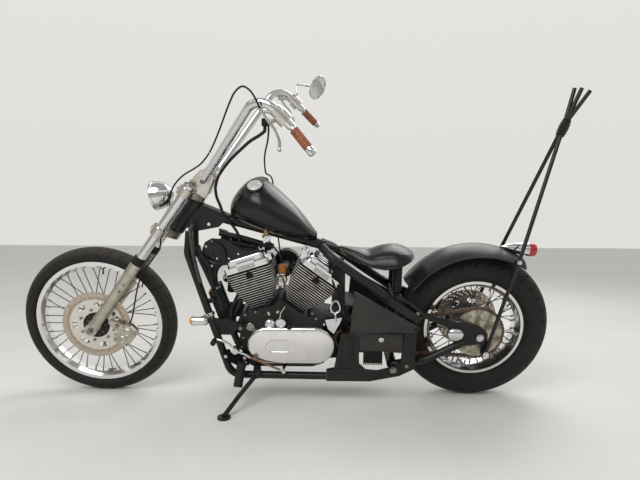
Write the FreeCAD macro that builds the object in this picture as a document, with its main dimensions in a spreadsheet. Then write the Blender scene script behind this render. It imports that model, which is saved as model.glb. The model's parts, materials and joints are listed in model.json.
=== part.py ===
import FreeCAD, Part
import math
import os
import re
import Sketcher
from FreeCAD import Placement, Rotation, Vector

# A small chopper motorcycle parked on its side stand.
# Millimetres. The bike is drawn upright: +X forward, +Y to the rider's left, +Z up, with the
# rear tyre's contact under X = 0. Each sub-part's Placement then leans the bike to its left,
# onto the stand, with the origin on the floor under the middle of its box.

doc = FreeCAD.newDocument("chopper_motorcycle")
sheet = doc.addObject("Spreadsheet::Sheet", "sizes")

SIZES = {
    # stance
    "wheelbase": 1647,
    "lean_angle": 10.95,
    "rake_angle": 36.5,
    "fork_offset": 45,
    "running_gap": 0.3,
    # front wheel
    "front_radius": 338,
    "front_crown": 42,
    "front_rim_radius": 279,
    "front_rim_half": 30,
    "front_bead_radius": 266,
    "front_hub_radius": 24,
    "front_flange_radius": 36,
    "front_hub_half": 52,
    "front_axle_radius": 8.5,
    "front_axle_half": 121.4,
    "spoke_radius": 1.9,
    "spokes_per_wheel": 40,
    "disc_radius": 150,
    "disc_band": 42,
    "disc_thickness": 5,
    "disc_hole_radius": 13,
    # rear wheel
    "rear_radius": 330,
    "rear_crown": 72,
    "rear_rim_radius": 215,
    "rear_rim_half": 48,
    "rear_bead_radius": 203,
    "rear_hub_radius": 44,
    "rear_flange_radius": 62,
    "rear_hub_half": 74,
    "rear_axle_radius": 10,
    "rear_axle_half": 147,
    "rear_disc_radius": 135,
    # final drive
    "chain_pitch": 15.875,
    "rear_teeth": 44,
    "front_teeth": 17,
    "chain_line": 88,
    "chain_roller_radius": 5,
    "chain_width": 16,
    "chain_plate_height": 15,
    "gearbox_x": 560,
    "gearbox_z": 300,
    # fork
    "leg_spacing": 190,
    "tube_radius": 20.5,
    "slider_radius": 25,
    "slider_length": 365,
    "slider_wall_top": 60,
    "tube_insertion": 110,
    "boot_length": 34,
    "lower_clamp_height": 538,
    "upper_clamp_height": 738,
    "clamp_thickness": 36,
    "clamp_eye_radius": 31,
    "stem_radius": 15,
    "head_tube_radius": 31,
    # controls
    "bar_radius": 15.9,
    "bar_roll": 4.8,
    "grip_bar_radius": 11.1,
    "riser_spacing": 96,
    "riser_width": 42,
    "riser_height": 62,
    "grip_radius": 16.5,
    "mirror_radius": 56,
    "cable_radius": 3.3,
    "loom_radius": 6,
    # headlight
    "headlight_radius": 60,
    "headlight_depth": 86,
    "lens_sphere": 123.04,
    # frame
    "backbone_radius": 22,
    "downtube_radius": 16,
    "rail_radius": 19,
    "rail_half": 120,
    "frame_plate_inner": 122,
    "frame_plate_thickness": 20,
    # swingarm
    "pivot_x": 355,
    "pivot_z": 178,
    "arm_radius": 16,
    "stay_radius": 13,
    "arm_plate_inner": 120,
    "arm_plate_thickness": 14,
    # engine
    "crankcase_half": 104,
    "gearcase_half": 66,
    "cylinder_half": 84,
    "barrel_radius": 46,
    "first_fin": 4,
    "fin_pitch": 10.6,
    "fin_thickness": 3.4,
    "fin_count": 16,
    "fin_low_half": 50,
    "fin_high_half": 101,
    "front_cylinder_tilt": 17.8,
    "rear_cylinder_tilt": 36.5,
    "cylinder_height": 177,
    "rocker_height": 24,
    "rocker_dome_height": 30,
    "intake_height": 118,
    "intake_flange_radius": 19,
    "exhaust_height": 140,
    "cover_length": 367,
    "cover_height": 166,
    "cover_depth": 50,
    "cover_edge": 14,
    "clutch_cover_radius": 92,
    "exhaust_radius": 24,
    # bodywork
    "tank_half": 140,
    "cap_radius": 31,
    "seat_spring_radius": 20,
    "fender_radius": 367,
    "fender_edge_radius": 338,
    "fender_half": 100,
    "fender_wall": 3,
    "fender_lip": 2,
    "fender_front_angle": 34,
    "fender_rear_angle": 122,
    "seat_half": 124,
    "sissy_radius": 8,
    "peg_radius": 19,
    "cover_wall": 10,
    # side stand
    "stand_radius": 9.5,
    "stand_pivot_x": 936,
    "stand_pivot_y": 150,
    "stand_pivot_z": 159,
    "stand_foot_x": 1045,
    "stand_foot_y": 336,
}

for row, (alias, number) in enumerate(SIZES.items(), start=1):
    sheet.set(f"A{row}", str(number))
    sheet.setAlias(f"A{row}", alias)
doc.recompute()

FORWARD = Vector(1, 0, 0)
LEFT = Vector(0, 1, 0)
UP = Vector(0, 0, 1)

parts = {}


def size(name):
    return float(sheet.get(name))


def formula(text):
    """The sheet's own expression for a text in which sizes stand by their plain names."""
    return re.sub(r"[a-z_]+", lambda word: f"sizes.{word[0]}" if word[0] in SIZES else word[0], str(text))


def value(text):
    """What a formula comes to, as a number."""
    result = sheet.evalExpression(formula(text))
    return float(getattr(result, "Value", result))


def bind(item, name, text):
    item.setExpression(name, formula(text))


def keep(label, item):
    """Take an object as a finished sub-part, under its own name."""
    item.Label = label
    parts[label] = item
    return item


def solid(label, shape, place=None):
    item = doc.addObject("Part::Feature", label)
    item.Shape = shape
    if place:
        item.Placement = place
    return item


def join(label, *items):
    item = doc.addObject("Part::MultiFuse", label)
    item.Shapes = list(items)
    return item


def carve(label, base, tool):
    item = doc.addObject("Part::Cut", label)
    item.Base = base
    item.Tool = tool
    return item


def gather(label, *items):
    """Like pieces that don't touch, as one sub-part."""
    item = doc.addObject("Part::Compound", label)
    item.Links = list(items)
    return item


def sketch(body, label, outline):
    """A closed sketch in the body's XY plane. A point is (x, y), and the middle of an arc is ("arc", x, y)."""
    plane = next(item for item in body.Origin.OriginFeatures if item.Role == "XY_Plane")
    drawing = body.newObject("Sketcher::SketchObject", label)
    drawing.AttachmentSupport = [(plane, "")]
    drawing.MapMode = "FlatFace"
    corners = [point for point in outline if point[0] != "arc"]
    middles = {}
    seen = 0
    for point in outline:
        if point[0] == "arc":
            middles[seen - 1] = point[1:]
        else:
            seen += 1
    spots = [Vector(value(x), value(y), 0) for x, y in corners]
    count = len(corners)
    starts = []
    for index in range(count):
        begin = spots[index]
        end = spots[(index + 1) % count]
        if index in middles:
            halfway = Vector(value(middles[index][0]), value(middles[index][1]), 0)
            edge = drawing.addGeometry(Part.Arc(begin, halfway, end))
            first = 1 if drawing.getPoint(edge, 1).distanceToPoint(begin) < 0.001 else 2
        else:
            edge = drawing.addGeometry(Part.LineSegment(begin, end))
            first = 1
        starts.append((edge, first))
    for index in range(count):
        edge, first = starts[index]
        following, start = starts[(index + 1) % count]
        drawing.addConstraint(Sketcher.Constraint("Coincident", edge, 3 - first, following, start))
    for index, (x, y) in enumerate(corners):
        edge, first = starts[index]
        fix(drawing, edge, first, x, y)
    for index, (x, y) in middles.items():
        mark = drawing.addGeometry(Part.Point(Vector(value(x), value(y), 0)), True)
        fix(drawing, mark, 1, x, y)
        drawing.addConstraint(Sketcher.Constraint("PointOnObject", mark, 1, starts[index][0]))
    return drawing


def fix(drawing, geometry, vertex, x, y):
    """Hold one point of a sketch at a place worked out from the sheet."""
    for kind, text in (("DistanceX", x), ("DistanceY", y)):
        number = drawing.addConstraint(Sketcher.Constraint(kind, -1, 1, geometry, vertex, value(text)))
        drawing.setExpression(f"Constraints[{number}]", formula(text))


def turned(label, outline, place, angle=360):
    """A body turned about its own X axis, from (along, radius) points."""
    body = doc.addObject("PartDesign::Body", label)
    turn = body.newObject("PartDesign::Revolution", f"{label}_turn")
    drawing = sketch(body, f"{label}_profile", outline)
    turn.Profile = drawing
    turn.ReferenceAxis = (drawing, ["H_Axis"])
    turn.Angle = angle
    body.Tip = turn
    drawing.Visibility = False
    body.Placement = place
    return body


def plate(label, outline, thickness, place):
    """A body padded from its own XY plane, from (x, y) points."""
    body = doc.addObject("PartDesign::Body", label)
    drawing = sketch(body, f"{label}_profile", outline)
    pad = body.newObject("PartDesign::Pad", f"{label}_pad")
    pad.Profile = drawing
    pad.Length = value(thickness)
    bind(pad, "Length", thickness)
    body.Tip = pad
    body.Placement = place
    return body


def rod(label, start, end, radius):
    """A round bar between two points."""
    item = doc.addObject("Part::Cylinder", label)
    run = end - start
    item.Height = run.Length
    item.Radius = value(radius)
    bind(item, "Radius", radius)
    item.Placement = Placement(start, Rotation(UP, run))
    return item


def mirrored(point):
    return Vector(point.x, -point.y, point.z)


def rounded_path(points, bend):
    """Straight runs through the points, joined by arcs of the bend's radius."""
    edges = []
    here = points[0]
    for before, corner, after in zip(points, points[1:], points[2:]):
        back = (before - corner).normalize()
        ahead = (after - corner).normalize()
        half_turn = (math.pi - back.getAngle(ahead)) / 2
        reach = bend * math.tan(half_turn)
        toward = (back + ahead).normalize()
        start = corner + back * reach
        end = corner + ahead * reach
        middle = corner + toward * (bend / math.cos(half_turn) - bend)
        edges.append(Part.LineSegment(here, start).toShape())
        edges.append(Part.Arc(start, middle, end).toShape())
        here = end
    edges.append(Part.LineSegment(here, points[-1]).toShape())
    return Part.Wire(edges)


def pipe(points, radius, bend):
    """A round tube along the points."""
    path = rounded_path(points, bend)
    section = Part.Circle(points[0], points[1] - points[0], radius).toShape()
    return path.makePipeShell([Part.Wire([section])], True, False)


def cord(points, radius):
    """A cable along the points, each arc as large as its two runs allow."""
    edges = []
    here = points[0]
    for before, corner, after in zip(points, points[1:], points[2:]):
        back = before - corner
        ahead = after - corner
        reach = 0.45 * min(back.Length, ahead.Length)
        back.normalize()
        ahead.normalize()
        half_turn = (math.pi - back.getAngle(ahead)) / 2
        bend = reach / math.tan(half_turn)
        start = corner + back * reach
        end = corner + ahead * reach
        middle = corner + (back + ahead).normalize() * (bend / math.cos(half_turn) - bend)
        edges.append(Part.LineSegment(here, start).toShape())
        edges.append(Part.Arc(start, middle, end).toShape())
        here = end
    edges.append(Part.LineSegment(here, points[-1]).toShape())
    section = Part.Circle(points[0], points[1] - points[0], radius).toShape()
    return Part.Wire(edges).makePipeShell([Part.Wire([section])], True, False)


def prism(outline, across_low, across_high):
    """A flat outline of (x, z) points, with ("arc", x, z) for an arc's middle, drawn out across the bike."""
    edges = []
    corners = [point for point in outline if point[0] != "arc"]
    following = corners[1:] + corners[:1]
    step = 0
    for place, point in enumerate(outline):
        if point[0] == "arc":
            continue
        start = Vector(point[0], across_low, point[1])
        end = Vector(following[step][0], across_low, following[step][1])
        ahead = outline[(place + 1) % len(outline)]
        if ahead[0] == "arc":
            edges.append(Part.Arc(start, Vector(ahead[1], across_low, ahead[2]), end).toShape())
        else:
            edges.append(Part.LineSegment(start, end).toShape())
        step += 1
    return Part.Face(Part.Wire(edges)).extrude(LEFT * (across_high - across_low))


def flipped(shape, side):
    """A shape of the left side as it is, or its mirror image on the right."""
    return shape if side > 0 else shape.mirror(Vector(), LEFT)


def ring_section(x, low, high, half, flatness):
    """One closed section of a lofted body, across the bike at x."""
    middle = low + (high - low) * flatness
    points = [
        Vector(x, 0, low),
        Vector(x, half * 0.72, low + (middle - low) * 0.22),
        Vector(x, half, middle),
        Vector(x, half * 0.72, middle + (high - middle) * 0.74),
        Vector(x, 0, high),
        Vector(x, -half * 0.72, middle + (high - middle) * 0.74),
        Vector(x, -half, middle),
        Vector(x, -half * 0.72, low + (middle - low) * 0.22),
    ]
    curve = Part.BSplineCurve()
    curve.interpolate(Points=points, PeriodicFlag=True)
    return Part.Wire([curve.toShape()])


def lofted(stations, flatness):
    sections = [ring_section(x, low, high, half, flatness) for x, low, high, half in stations]
    return Part.makeLoft(sections, True, False, False)


def block(x_low, x_high, y_low, y_high, z_low, z_high):
    return Part.makeBox(x_high - x_low, y_high - y_low, z_high - z_low, Vector(x_low, y_low, z_low))


# Stance

lean = math.radians(size("lean_angle"))
rake = math.radians(size("rake_angle"))
steer_up = Vector(-math.sin(rake), 0, math.cos(rake))
steer_forward = Vector(math.cos(rake), 0, math.sin(rake))
front_axle_height = value("front_radius - front_crown + front_crown / cos(lean_angle)")
rear_axle_height = value("rear_radius - rear_crown + rear_crown / cos(lean_angle)")
front_axle = Vector(size("wheelbase"), 0, front_axle_height)
rear_axle = Vector(0, 0, rear_axle_height)
steer_base = front_axle - steer_forward * size("fork_offset")
across = Rotation(UP, 90)
fork_frame = Rotation(steer_forward, LEFT, steer_up, "ZXY")


def on_fork(forward, left, height):
    """A point in the fork's own frame: ahead of the steering axis, left, and up along it."""
    return steer_base + steer_forward * forward + LEFT * left + steer_up * height


front_wheel_place = Placement(front_axle, across)
rear_wheel_place = Placement(rear_axle, across)


# Wheels


def tyre(label, place, radius, crown, bead, rim_half, rim_radius):
    inner = f"({rim_half} - 4)"
    lip = f"({rim_radius} + 2)"
    centre = f"({radius} - {crown})"
    shoulder_x = f"({inner} * 0.3 + {crown} * 0.7)"
    shoulder_r = f"({lip} * 0.75 + {centre} * 0.25)"
    outline = [
        (f"-{inner}", bead),
        (inner, bead),
        (inner, lip),
        ("arc", shoulder_x, shoulder_r),
        (crown, centre),
        ("arc", "0", radius),
        (f"-{crown}", centre),
        ("arc", f"-{shoulder_x}", shoulder_r),
        (f"-{inner}", lip),
    ]
    return keep(label, turned(f"{label}_body", outline, place))


def rim(label, place, bead, rim_half, rim_radius):
    inner = f"({rim_half} - 3.5)"
    seat = f"({bead} - 0.5)"
    well = f"({bead} - 9)"
    outline = [
        (f"-{rim_half}", rim_radius),
        (f"-{inner}", rim_radius),
        (f"-{inner}", seat),
        (f"-{inner} * 0.55", seat),
        (f"-{inner} * 0.4", well),
        (f"{inner} * 0.4", well),
        (f"{inner} * 0.55", seat),
        (inner, seat),
        (inner, rim_radius),
        (rim_half, rim_radius),
        (rim_half, f"{bead} - 4"),
        (f"{inner} * 0.5", f"{well} - 8"),
        (f"-{inner} * 0.5", f"{well} - 8"),
        (f"-{rim_half}", f"{bead} - 4"),
    ]
    return turned(label, outline, place)


def hub(label, place, half, barrel, flange, flange_at, axle):
    bore = f"({axle} + running_gap)"
    outline = [
        (f"-{half}", bore),
        (half, bore),
        (half, f"{barrel} * 0.85"),
        (f"({flange_at} + 4)", barrel),
        (f"({flange_at} + 4)", flange),
        (f"({flange_at} - 2)", flange),
        (f"({flange_at} - 8)", barrel),
        (f"-({flange_at} - 8)", barrel),
        (f"-({flange_at} - 2)", flange),
        (f"-({flange_at} + 4)", flange),
        (f"-({flange_at} + 4)", barrel),
        (f"-{half}", f"{barrel} * 0.85"),
    ]
    return turned(label, outline, place)


def spokes(label, place, flange, flange_at, rim_reach, rim_spread, wrap):
    """Laced spokes: two crossing sets on each flange."""
    count = int(size("spokes_per_wheel"))
    bars = []
    for index in range(count):
        side = 1 if index % 2 else -1
        pull = 1 if index % 4 < 2 else -1
        rim_angle = 2 * math.pi * (index + 0.5) / count
        hub_angle = rim_angle + pull * math.radians(wrap)
        start = Vector(side * flange_at, flange * math.cos(hub_angle), flange * math.sin(hub_angle))
        end = Vector(side * rim_spread, rim_reach * math.cos(rim_angle), rim_reach * math.sin(rim_angle))
        run = end - start
        bars.append(Part.makeCylinder(size("spoke_radius"), run.Length, start, run))
    return solid(label, Part.makeCompound(bars), place)


tyre(
    "front_tyre", front_wheel_place, "front_radius", "front_crown",
    "front_bead_radius", "front_rim_half", "front_rim_radius",
)
front_rim = rim("front_rim", front_wheel_place, "front_bead_radius", "front_rim_half", "front_rim_radius")
front_hub = hub(
    "front_hub", front_wheel_place, "front_hub_half", "front_hub_radius",
    "front_flange_radius", "32", "front_axle_radius",
)
front_spokes = spokes(
    "front_spokes", front_wheel_place, size("front_flange_radius") - 4, 33,
    size("front_bead_radius") - 12, 5, 62,
)
keep("front_wheel", join("front_wheel_join", front_rim, front_hub, front_spokes))

tyre(
    "rear_tyre", rear_wheel_place, "rear_radius", "rear_crown",
    "rear_bead_radius", "rear_rim_half", "rear_rim_radius",
)
rear_rim = rim("rear_rim", rear_wheel_place, "rear_bead_radius", "rear_rim_half", "rear_rim_radius")
rear_hub = hub(
    "rear_hub", rear_wheel_place, "rear_hub_half", "rear_hub_radius",
    "rear_flange_radius", "46", "rear_axle_radius",
)
rear_spokes = spokes(
    "rear_spokes", rear_wheel_place, size("rear_flange_radius") - 5, 47,
    size("rear_bead_radius") - 12, 8, 48,
)
keep("rear_wheel", join("rear_wheel_join", rear_rim, rear_hub, rear_spokes))


def brake_disc(label, place, side, offset, outer, carrier):
    """A drilled ring on a thinner carrier, seated on the hub's end."""
    near = f"{side} * ({offset})"
    far = f"{side} * ({offset} + disc_thickness)"
    outline = [
        (near, f"{carrier} - 6"),
        (far, f"{carrier} - 6"),
        (far, outer),
        (near, outer),
    ]
    disc = turned(f"{label}_ring", outline, place)
    cutters = []
    holes = 10
    for index in range(holes):
        angle = 2 * math.pi * index / holes
        reach = (value(carrier) + value(outer) - size("disc_band")) / 2
        spot = Vector(-300, reach * math.cos(angle), reach * math.sin(angle))
        cutters.append(Part.makeCylinder(size("disc_hole_radius"), 600, spot, FORWARD))
    holes_tool = solid(f"{label}_holes", Part.makeCompound(cutters), place)
    return keep(label, carve(f"{label}_cut", disc, holes_tool))


brake_disc("front_disc", front_wheel_place, 1, "front_hub_half + 0.2", "disc_radius", "front_hub_radius + 2")
brake_disc("rear_disc", rear_wheel_place, -1, "rear_hub_half + 0.2", "rear_disc_radius", "rear_hub_radius - 8")

axle_reach = LEFT * size("front_axle_half")
front_axle_bar = rod("front_axle_bar", front_axle - axle_reach, front_axle + axle_reach, "front_axle_radius")
front_axle_head = rod(
    "front_axle_head", front_axle + axle_reach, front_axle + axle_reach + LEFT * 8, "front_axle_radius + 5",
)
front_axle_nut = rod(
    "front_axle_nut", front_axle - axle_reach, front_axle - axle_reach - LEFT * 12, "front_axle_radius + 5",
)
keep("front_axle", join("front_axle_join", front_axle_bar, front_axle_head, front_axle_nut))

rear_reach = LEFT * size("rear_axle_half")
rear_axle_bar = rod("rear_axle_bar", rear_axle - rear_reach, rear_axle + rear_reach, "rear_axle_radius")
plate_outer = size("arm_plate_inner") + size("arm_plate_thickness")
rear_axle_nuts = [
    rod(f"rear_axle_nut_{side}", rear_axle + LEFT * side * (plate_outer + 0.2),
        rear_axle + LEFT * side * (plate_outer + 12), "rear_axle_radius + 7")
    for side in (1, -1)
]
keep("rear_axle", join("rear_axle_join", rear_axle_bar, *rear_axle_nuts))


# Final drive


def sprocket_radius(teeth):
    return size("chain_pitch") / (2 * math.sin(math.pi / teeth))


def sprocket(label, place, teeth, bore, offset):
    """A toothed plate; its teeth stop short of the chain's rollers."""
    pitch_radius = sprocket_radius(teeth)
    tip = pitch_radius - size("chain_roller_radius") - 0.8
    root = tip - 5
    points = []
    for index in range(teeth):
        start = 2 * math.pi * index / teeth
        step = 2 * math.pi / teeth
        for share, reach in ((0.0, root), (0.3, root), (0.45, tip), (0.85, tip)):
            angle = start + share * step
            points.append(Vector(offset - 3, reach * math.cos(angle), reach * math.sin(angle)))
    outline = Part.Face(Part.makePolygon(points + [points[0]]))
    disc = outline.extrude(FORWARD * 6)
    disc = disc.cut(Part.makeCylinder(bore, 400, Vector(-200, 0, 0), FORWARD))
    for index in range(6):
        angle = 2 * math.pi * index / 6
        reach = (root + bore) / 2
        spot = Vector(-200, reach * math.cos(angle), reach * math.sin(angle))
        disc = disc.cut(Part.makeCylinder(size("disc_hole_radius"), 400, spot, FORWARD))
    return solid(label, disc, place)


rear_sprocket = sprocket(
    "rear_sprocket_plate", rear_wheel_place, int(size("rear_teeth")), size("rear_axle_radius") + 12,
    size("chain_line"),
)
sprocket_boss = turned(
    "sprocket_boss",
    [
        ("rear_hub_half + 0.3", "rear_axle_radius + running_gap"),
        ("chain_line + 8", "rear_axle_radius + running_gap"),
        ("chain_line + 8", "rear_axle_radius + 20"),
        ("rear_hub_half + 0.3", "rear_hub_radius - 6"),
    ],
    rear_wheel_place,
)
keep("rear_sprocket", join("rear_sprocket_join", rear_sprocket, sprocket_boss))


def chain_loop():
    """The closed run of the chain round both sprockets: a band of rollers between waisted side plates."""
    big = sprocket_radius(size("rear_teeth"))
    small = sprocket_radius(size("front_teeth"))
    rear = Vector(rear_axle.x, 0, rear_axle.z)
    front = Vector(size("gearbox_x"), 0, size("gearbox_z"))
    run = front - rear
    slope = math.atan2(run.z, run.x)
    spread = math.acos((big - small) / run.Length)
    straight = math.sqrt(run.Length ** 2 - (big - small) ** 2)
    rear_arc = big * (2 * math.pi - 2 * spread)
    front_arc = small * 2 * spread
    length = rear_arc + front_arc + 2 * straight
    links = round(length / size("chain_pitch"))

    def pin_line(distance):
        """A point of the pitch line and the way out from it, at a distance round the loop."""
        for centre, radius, first, sweep in (
            (rear, big, slope + spread, rear_arc / big), (front, small, slope - spread, front_arc / small),
        ):
            if distance <= radius * sweep:
                angle = first + distance / radius
                out = Vector(math.cos(angle), 0, math.sin(angle))
                return centre + out * radius, out
            distance -= radius * sweep
            last = first + sweep
            out = Vector(math.cos(last), 0, math.sin(last))
            if distance <= straight:
                along = Vector(-math.sin(last), 0, math.cos(last))
                return centre + out * radius + along * distance, out
            distance -= straight
        return pin_line(0)

    def band(offsets, low, high):
        points = []
        for index in range(links * len(offsets)):
            spot, out = pin_line(length * index / (links * len(offsets)))
            points.append(spot + out * offsets[index % len(offsets)] + LEFT * low)
        return Part.Face(Part.makePolygon(points + [points[0]])).extrude(LEFT * (high - low))

    full = size("chain_plate_height") / 2
    roller = size("chain_roller_radius")
    plates = (full, full * 0.72, full * 0.62, full * 0.72)
    half = size("chain_width") / 2
    loop = band((roller,), -half, half).cut(band((-roller,), -half, half))
    for low, high in ((-half, -half / 2), (half / 2, half)):
        loop = loop.fuse(band(plates, low, high).cut(band([-offset for offset in plates], low, high)))
    loop.translate(LEFT * size("chain_line"))
    return loop


keep("drive_chain", solid("drive_chain_loop", chain_loop()))


# Fork

leg_half = size("leg_spacing") / 2
along_fork = Rotation(steer_up, LEFT, steer_forward, "ZXY")


def fork_leg(side):
    """One slider and its tube, with the axle's boss at the foot."""
    name = "left" if side > 0 else "right"
    foot = on_fork(size("fork_offset"), side * leg_half, 0)
    slider = turned(
        f"slider_{name}",
        [
            ("-slider_radius", "0"),
            ("slider_length - tube_insertion", "0"),
            ("slider_length - tube_insertion", "tube_radius + running_gap"),
            ("slider_length", "tube_radius + running_gap"),
            ("slider_length", "slider_radius"),
            ("slider_length - slider_wall_top", "slider_radius"),
            ("slider_length - slider_wall_top - 14", "slider_radius - 2"),
            ("slider_radius * 1.6", "slider_radius - 2"),
            ("slider_radius * 0.8", "slider_radius + 1"),
            ("-slider_radius", "slider_radius - 3"),
        ],
        Placement(foot, along_fork),
    )
    eye = rod(f"slider_eye_{name}", foot - LEFT * 22, foot + LEFT * 22, "slider_radius + 1")
    outer = join(f"slider_join_{name}", slider, eye)
    bore = rod(
        f"slider_bore_{name}", foot - LEFT * 80, foot + LEFT * 80, "front_axle_radius + 0.1",
    )
    leg = carve(f"slider_cut_{name}", outer, bore)
    tube_start = foot + steer_up * (size("slider_length") - size("tube_insertion") + 1)
    tube_end = foot + steer_up * (size("upper_clamp_height") + size("clamp_thickness") / 2 + 4)
    tube = rod(f"tube_{name}", tube_start, tube_end, "tube_radius")
    cap = rod(f"tube_cap_{name}", tube_end, tube_end + steer_up * 12, "tube_radius + 3")
    return leg, join(f"tube_join_{name}", tube, cap)


def dust_boot(side):
    name = "left" if side > 0 else "right"
    foot = on_fork(size("fork_offset"), side * leg_half, size("slider_length") + 0.3)
    return turned(
        f"boot_{name}",
        [
            ("0", "tube_radius + running_gap"),
            ("boot_length", "tube_radius + running_gap"),
            ("boot_length", "tube_radius + 3"),
            ("boot_length * 0.7", "slider_radius + 1"),
            ("0", "slider_radius + 2"),
        ],
        Placement(foot, along_fork),
    )


left_slider, left_tube = fork_leg(1)
right_slider, right_tube = fork_leg(-1)
keep("fork_sliders", gather("fork_sliders_pair", left_slider, right_slider))
keep("fork_tubes", gather("fork_tubes_pair", left_tube, right_tube))
keep("dust_boots", gather("dust_boots_pair", dust_boot(1), dust_boot(-1)))


def clamp_yoke(label, height, thickness):
    """A yoke that holds both tubes and the stem, drawn square to the steering axis."""
    offset = size("fork_offset")
    eye = size("clamp_eye_radius")
    outline = [
        ("fork_offset - 6", "leg_spacing / 2 + clamp_eye_radius"),
        ("arc", "fork_offset - clamp_eye_radius", "leg_spacing / 2"),
        ("fork_offset - clamp_eye_radius * 0.8", "leg_spacing / 2 - clamp_eye_radius"),
        ("-stem_radius - 6", "stem_radius + 8"),
        ("arc", "-stem_radius - 14", "0"),
        ("-stem_radius - 6", "-stem_radius - 8"),
        ("fork_offset - clamp_eye_radius * 0.8", "-leg_spacing / 2 + clamp_eye_radius"),
        ("arc", "fork_offset - clamp_eye_radius", "-leg_spacing / 2"),
        ("fork_offset - 6", "-leg_spacing / 2 - clamp_eye_radius"),
        ("arc", "fork_offset + clamp_eye_radius", "-leg_spacing / 2 - 4"),
        ("fork_offset + clamp_eye_radius * 0.5", "-leg_spacing / 2 + clamp_eye_radius"),
        ("fork_offset + clamp_eye_radius * 0.5", "leg_spacing / 2 - clamp_eye_radius"),
        ("arc", "fork_offset + clamp_eye_radius", "leg_spacing / 2 + 4"),
    ]
    middle = steer_base + steer_up * (height - thickness / 2)
    yoke = plate(f"{label}_plate", outline, "clamp_thickness", Placement(middle, fork_frame))
    bores = []
    for side in (1, -1):
        spot = on_fork(offset, side * leg_half, height - eye * 2)
        bores.append(rod(f"{label}_bore_{side}", spot, spot + steer_up * eye * 4, "tube_radius + 0.1"))
    tool = join(f"{label}_bores", *bores)
    return carve(f"{label}_cut", yoke, tool)


clamp_thickness = size("clamp_thickness")
lower_yoke = clamp_yoke("lower_yoke", size("lower_clamp_height"), clamp_thickness)
upper_yoke = clamp_yoke("upper_yoke", size("upper_clamp_height"), clamp_thickness)
stem = rod(
    "stem",
    on_fork(0, 0, size("lower_clamp_height") - clamp_thickness / 2 - 6),
    on_fork(0, 0, size("upper_clamp_height") + clamp_thickness / 2 + 8),
    "stem_radius",
)
keep("triple_clamps", join("triple_clamps_join", lower_yoke, upper_yoke, stem))

# Handlebar, risers, grips and controls

bar_height = size("upper_clamp_height") + clamp_thickness / 2 + size("riser_height")
bar_centre = on_fork(10, 0, bar_height)


def on_bar(point, side):
    """A point of the handlebar's left or right arm: the bar sits rolled a little down to its left."""
    low = handed(point, side) - bar_centre
    return bar_centre + Rotation(FORWARD, -size("bar_roll")).multVec(low)


def handed(point, side):
    return Vector(point.x, point.y * side, point.z)


bar_bend = Vector(866, 345, 1336)
grip_start = Vector(762, 348, 1229)
grip_end = Vector(687, 398, 1145)
bar_foot = bar_centre + LEFT * 118
bar_arms = {side: [handed(bar_foot, side)] + [on_bar(point, side) for point in (bar_bend, grip_start)] for side in (1, -1)}
grip_ends = {side: on_bar(grip_end, side) for side in (1, -1)}
bar_tube = pipe(list(reversed(bar_arms[-1])) + bar_arms[1], size("bar_radius"), 70)
bar_ends = []
for side in (1, -1):
    run = grip_ends[side] - bar_arms[side][2]
    bar_ends.append(Part.makeCylinder(size("grip_bar_radius"), run.Length, bar_arms[side][2], run))
    bar_ends.append(Part.makeSphere(size("bar_radius"), bar_arms[side][2]))
keep("handlebar", solid("handlebar_tube", bar_tube.fuse(bar_ends)))


def riser(side):
    """A tall wedge on the upper yoke, highest in front, bored for the bar at its sloping back."""
    middle = side * size("riser_spacing") / 2
    half = size("riser_width") / 2
    foot = size("upper_clamp_height") + clamp_thickness / 2 + 0.2
    height = size("riser_height")
    outline = [
        on_fork(62, 0, foot), on_fork(50, 0, foot + height * 1.32), on_fork(38, 0, foot + height * 1.36),
        on_fork(-6, 0, foot + height + 24), on_fork(-14, 0, foot + height), on_fork(-26, 0, foot),
    ]
    wedge = prism([(point.x, point.z) for point in outline], middle - half, middle + half)
    bore = Part.makeCylinder(size("bar_radius") + 0.1, 2 * size("riser_width"), handed(bar_centre, 1), LEFT)
    bore.translate(LEFT * (middle - size("riser_width")))
    return solid(f"riser_{side}", wedge.cut(bore))


keep("risers", gather("risers_pair", riser(1), riser(-1)))


def between(start, end, share):
    return start + (end - start) * share


def sleeve(start, end, outer, inner):
    run = end - start
    return Part.makeCylinder(outer, run.Length, start, run).cut(Part.makeCylinder(inner, run.Length, start, run))


grips = []
for side in (1, -1):
    first = bar_arms[side][2]
    last = grip_ends[side]
    run = (last - first).normalize()
    bore = size("grip_bar_radius") + 0.1
    cuff = last - run * 24
    outer = sleeve(first + run * 20, cuff - run * 0.2, size("grip_radius"), bore)
    chrome = sleeve(cuff, last, size("grip_radius") - 1.5, bore)
    cap = Part.makeCylinder(size("grip_radius") - 1.5, 5, last, run)
    grips.append(solid(f"grip_{side}", outer))
    grips.append(solid(f"grip_end_{side}", chrome.fuse(cap.cut(Part.makeCylinder(bore, 0.2, last, run)))))
keep("grips", gather("grips_pair", *grips))

bar_run = (grip_start - bar_bend).normalize()
perch_spot = grip_start - bar_run * 64
lever_pivot = Vector(858, 338, 1278)
lever_blade = [
    lever_pivot, Vector(845, 341, 1256), Vector(828, 346, 1233), Vector(812, 349, 1213), Vector(799, 354, 1180),
    Vector(800, 360, 1152),
]
bar_room = pipe(list(reversed(bar_arms[-1])) + bar_arms[1], size("bar_radius") + 0.1, 70)


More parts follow.
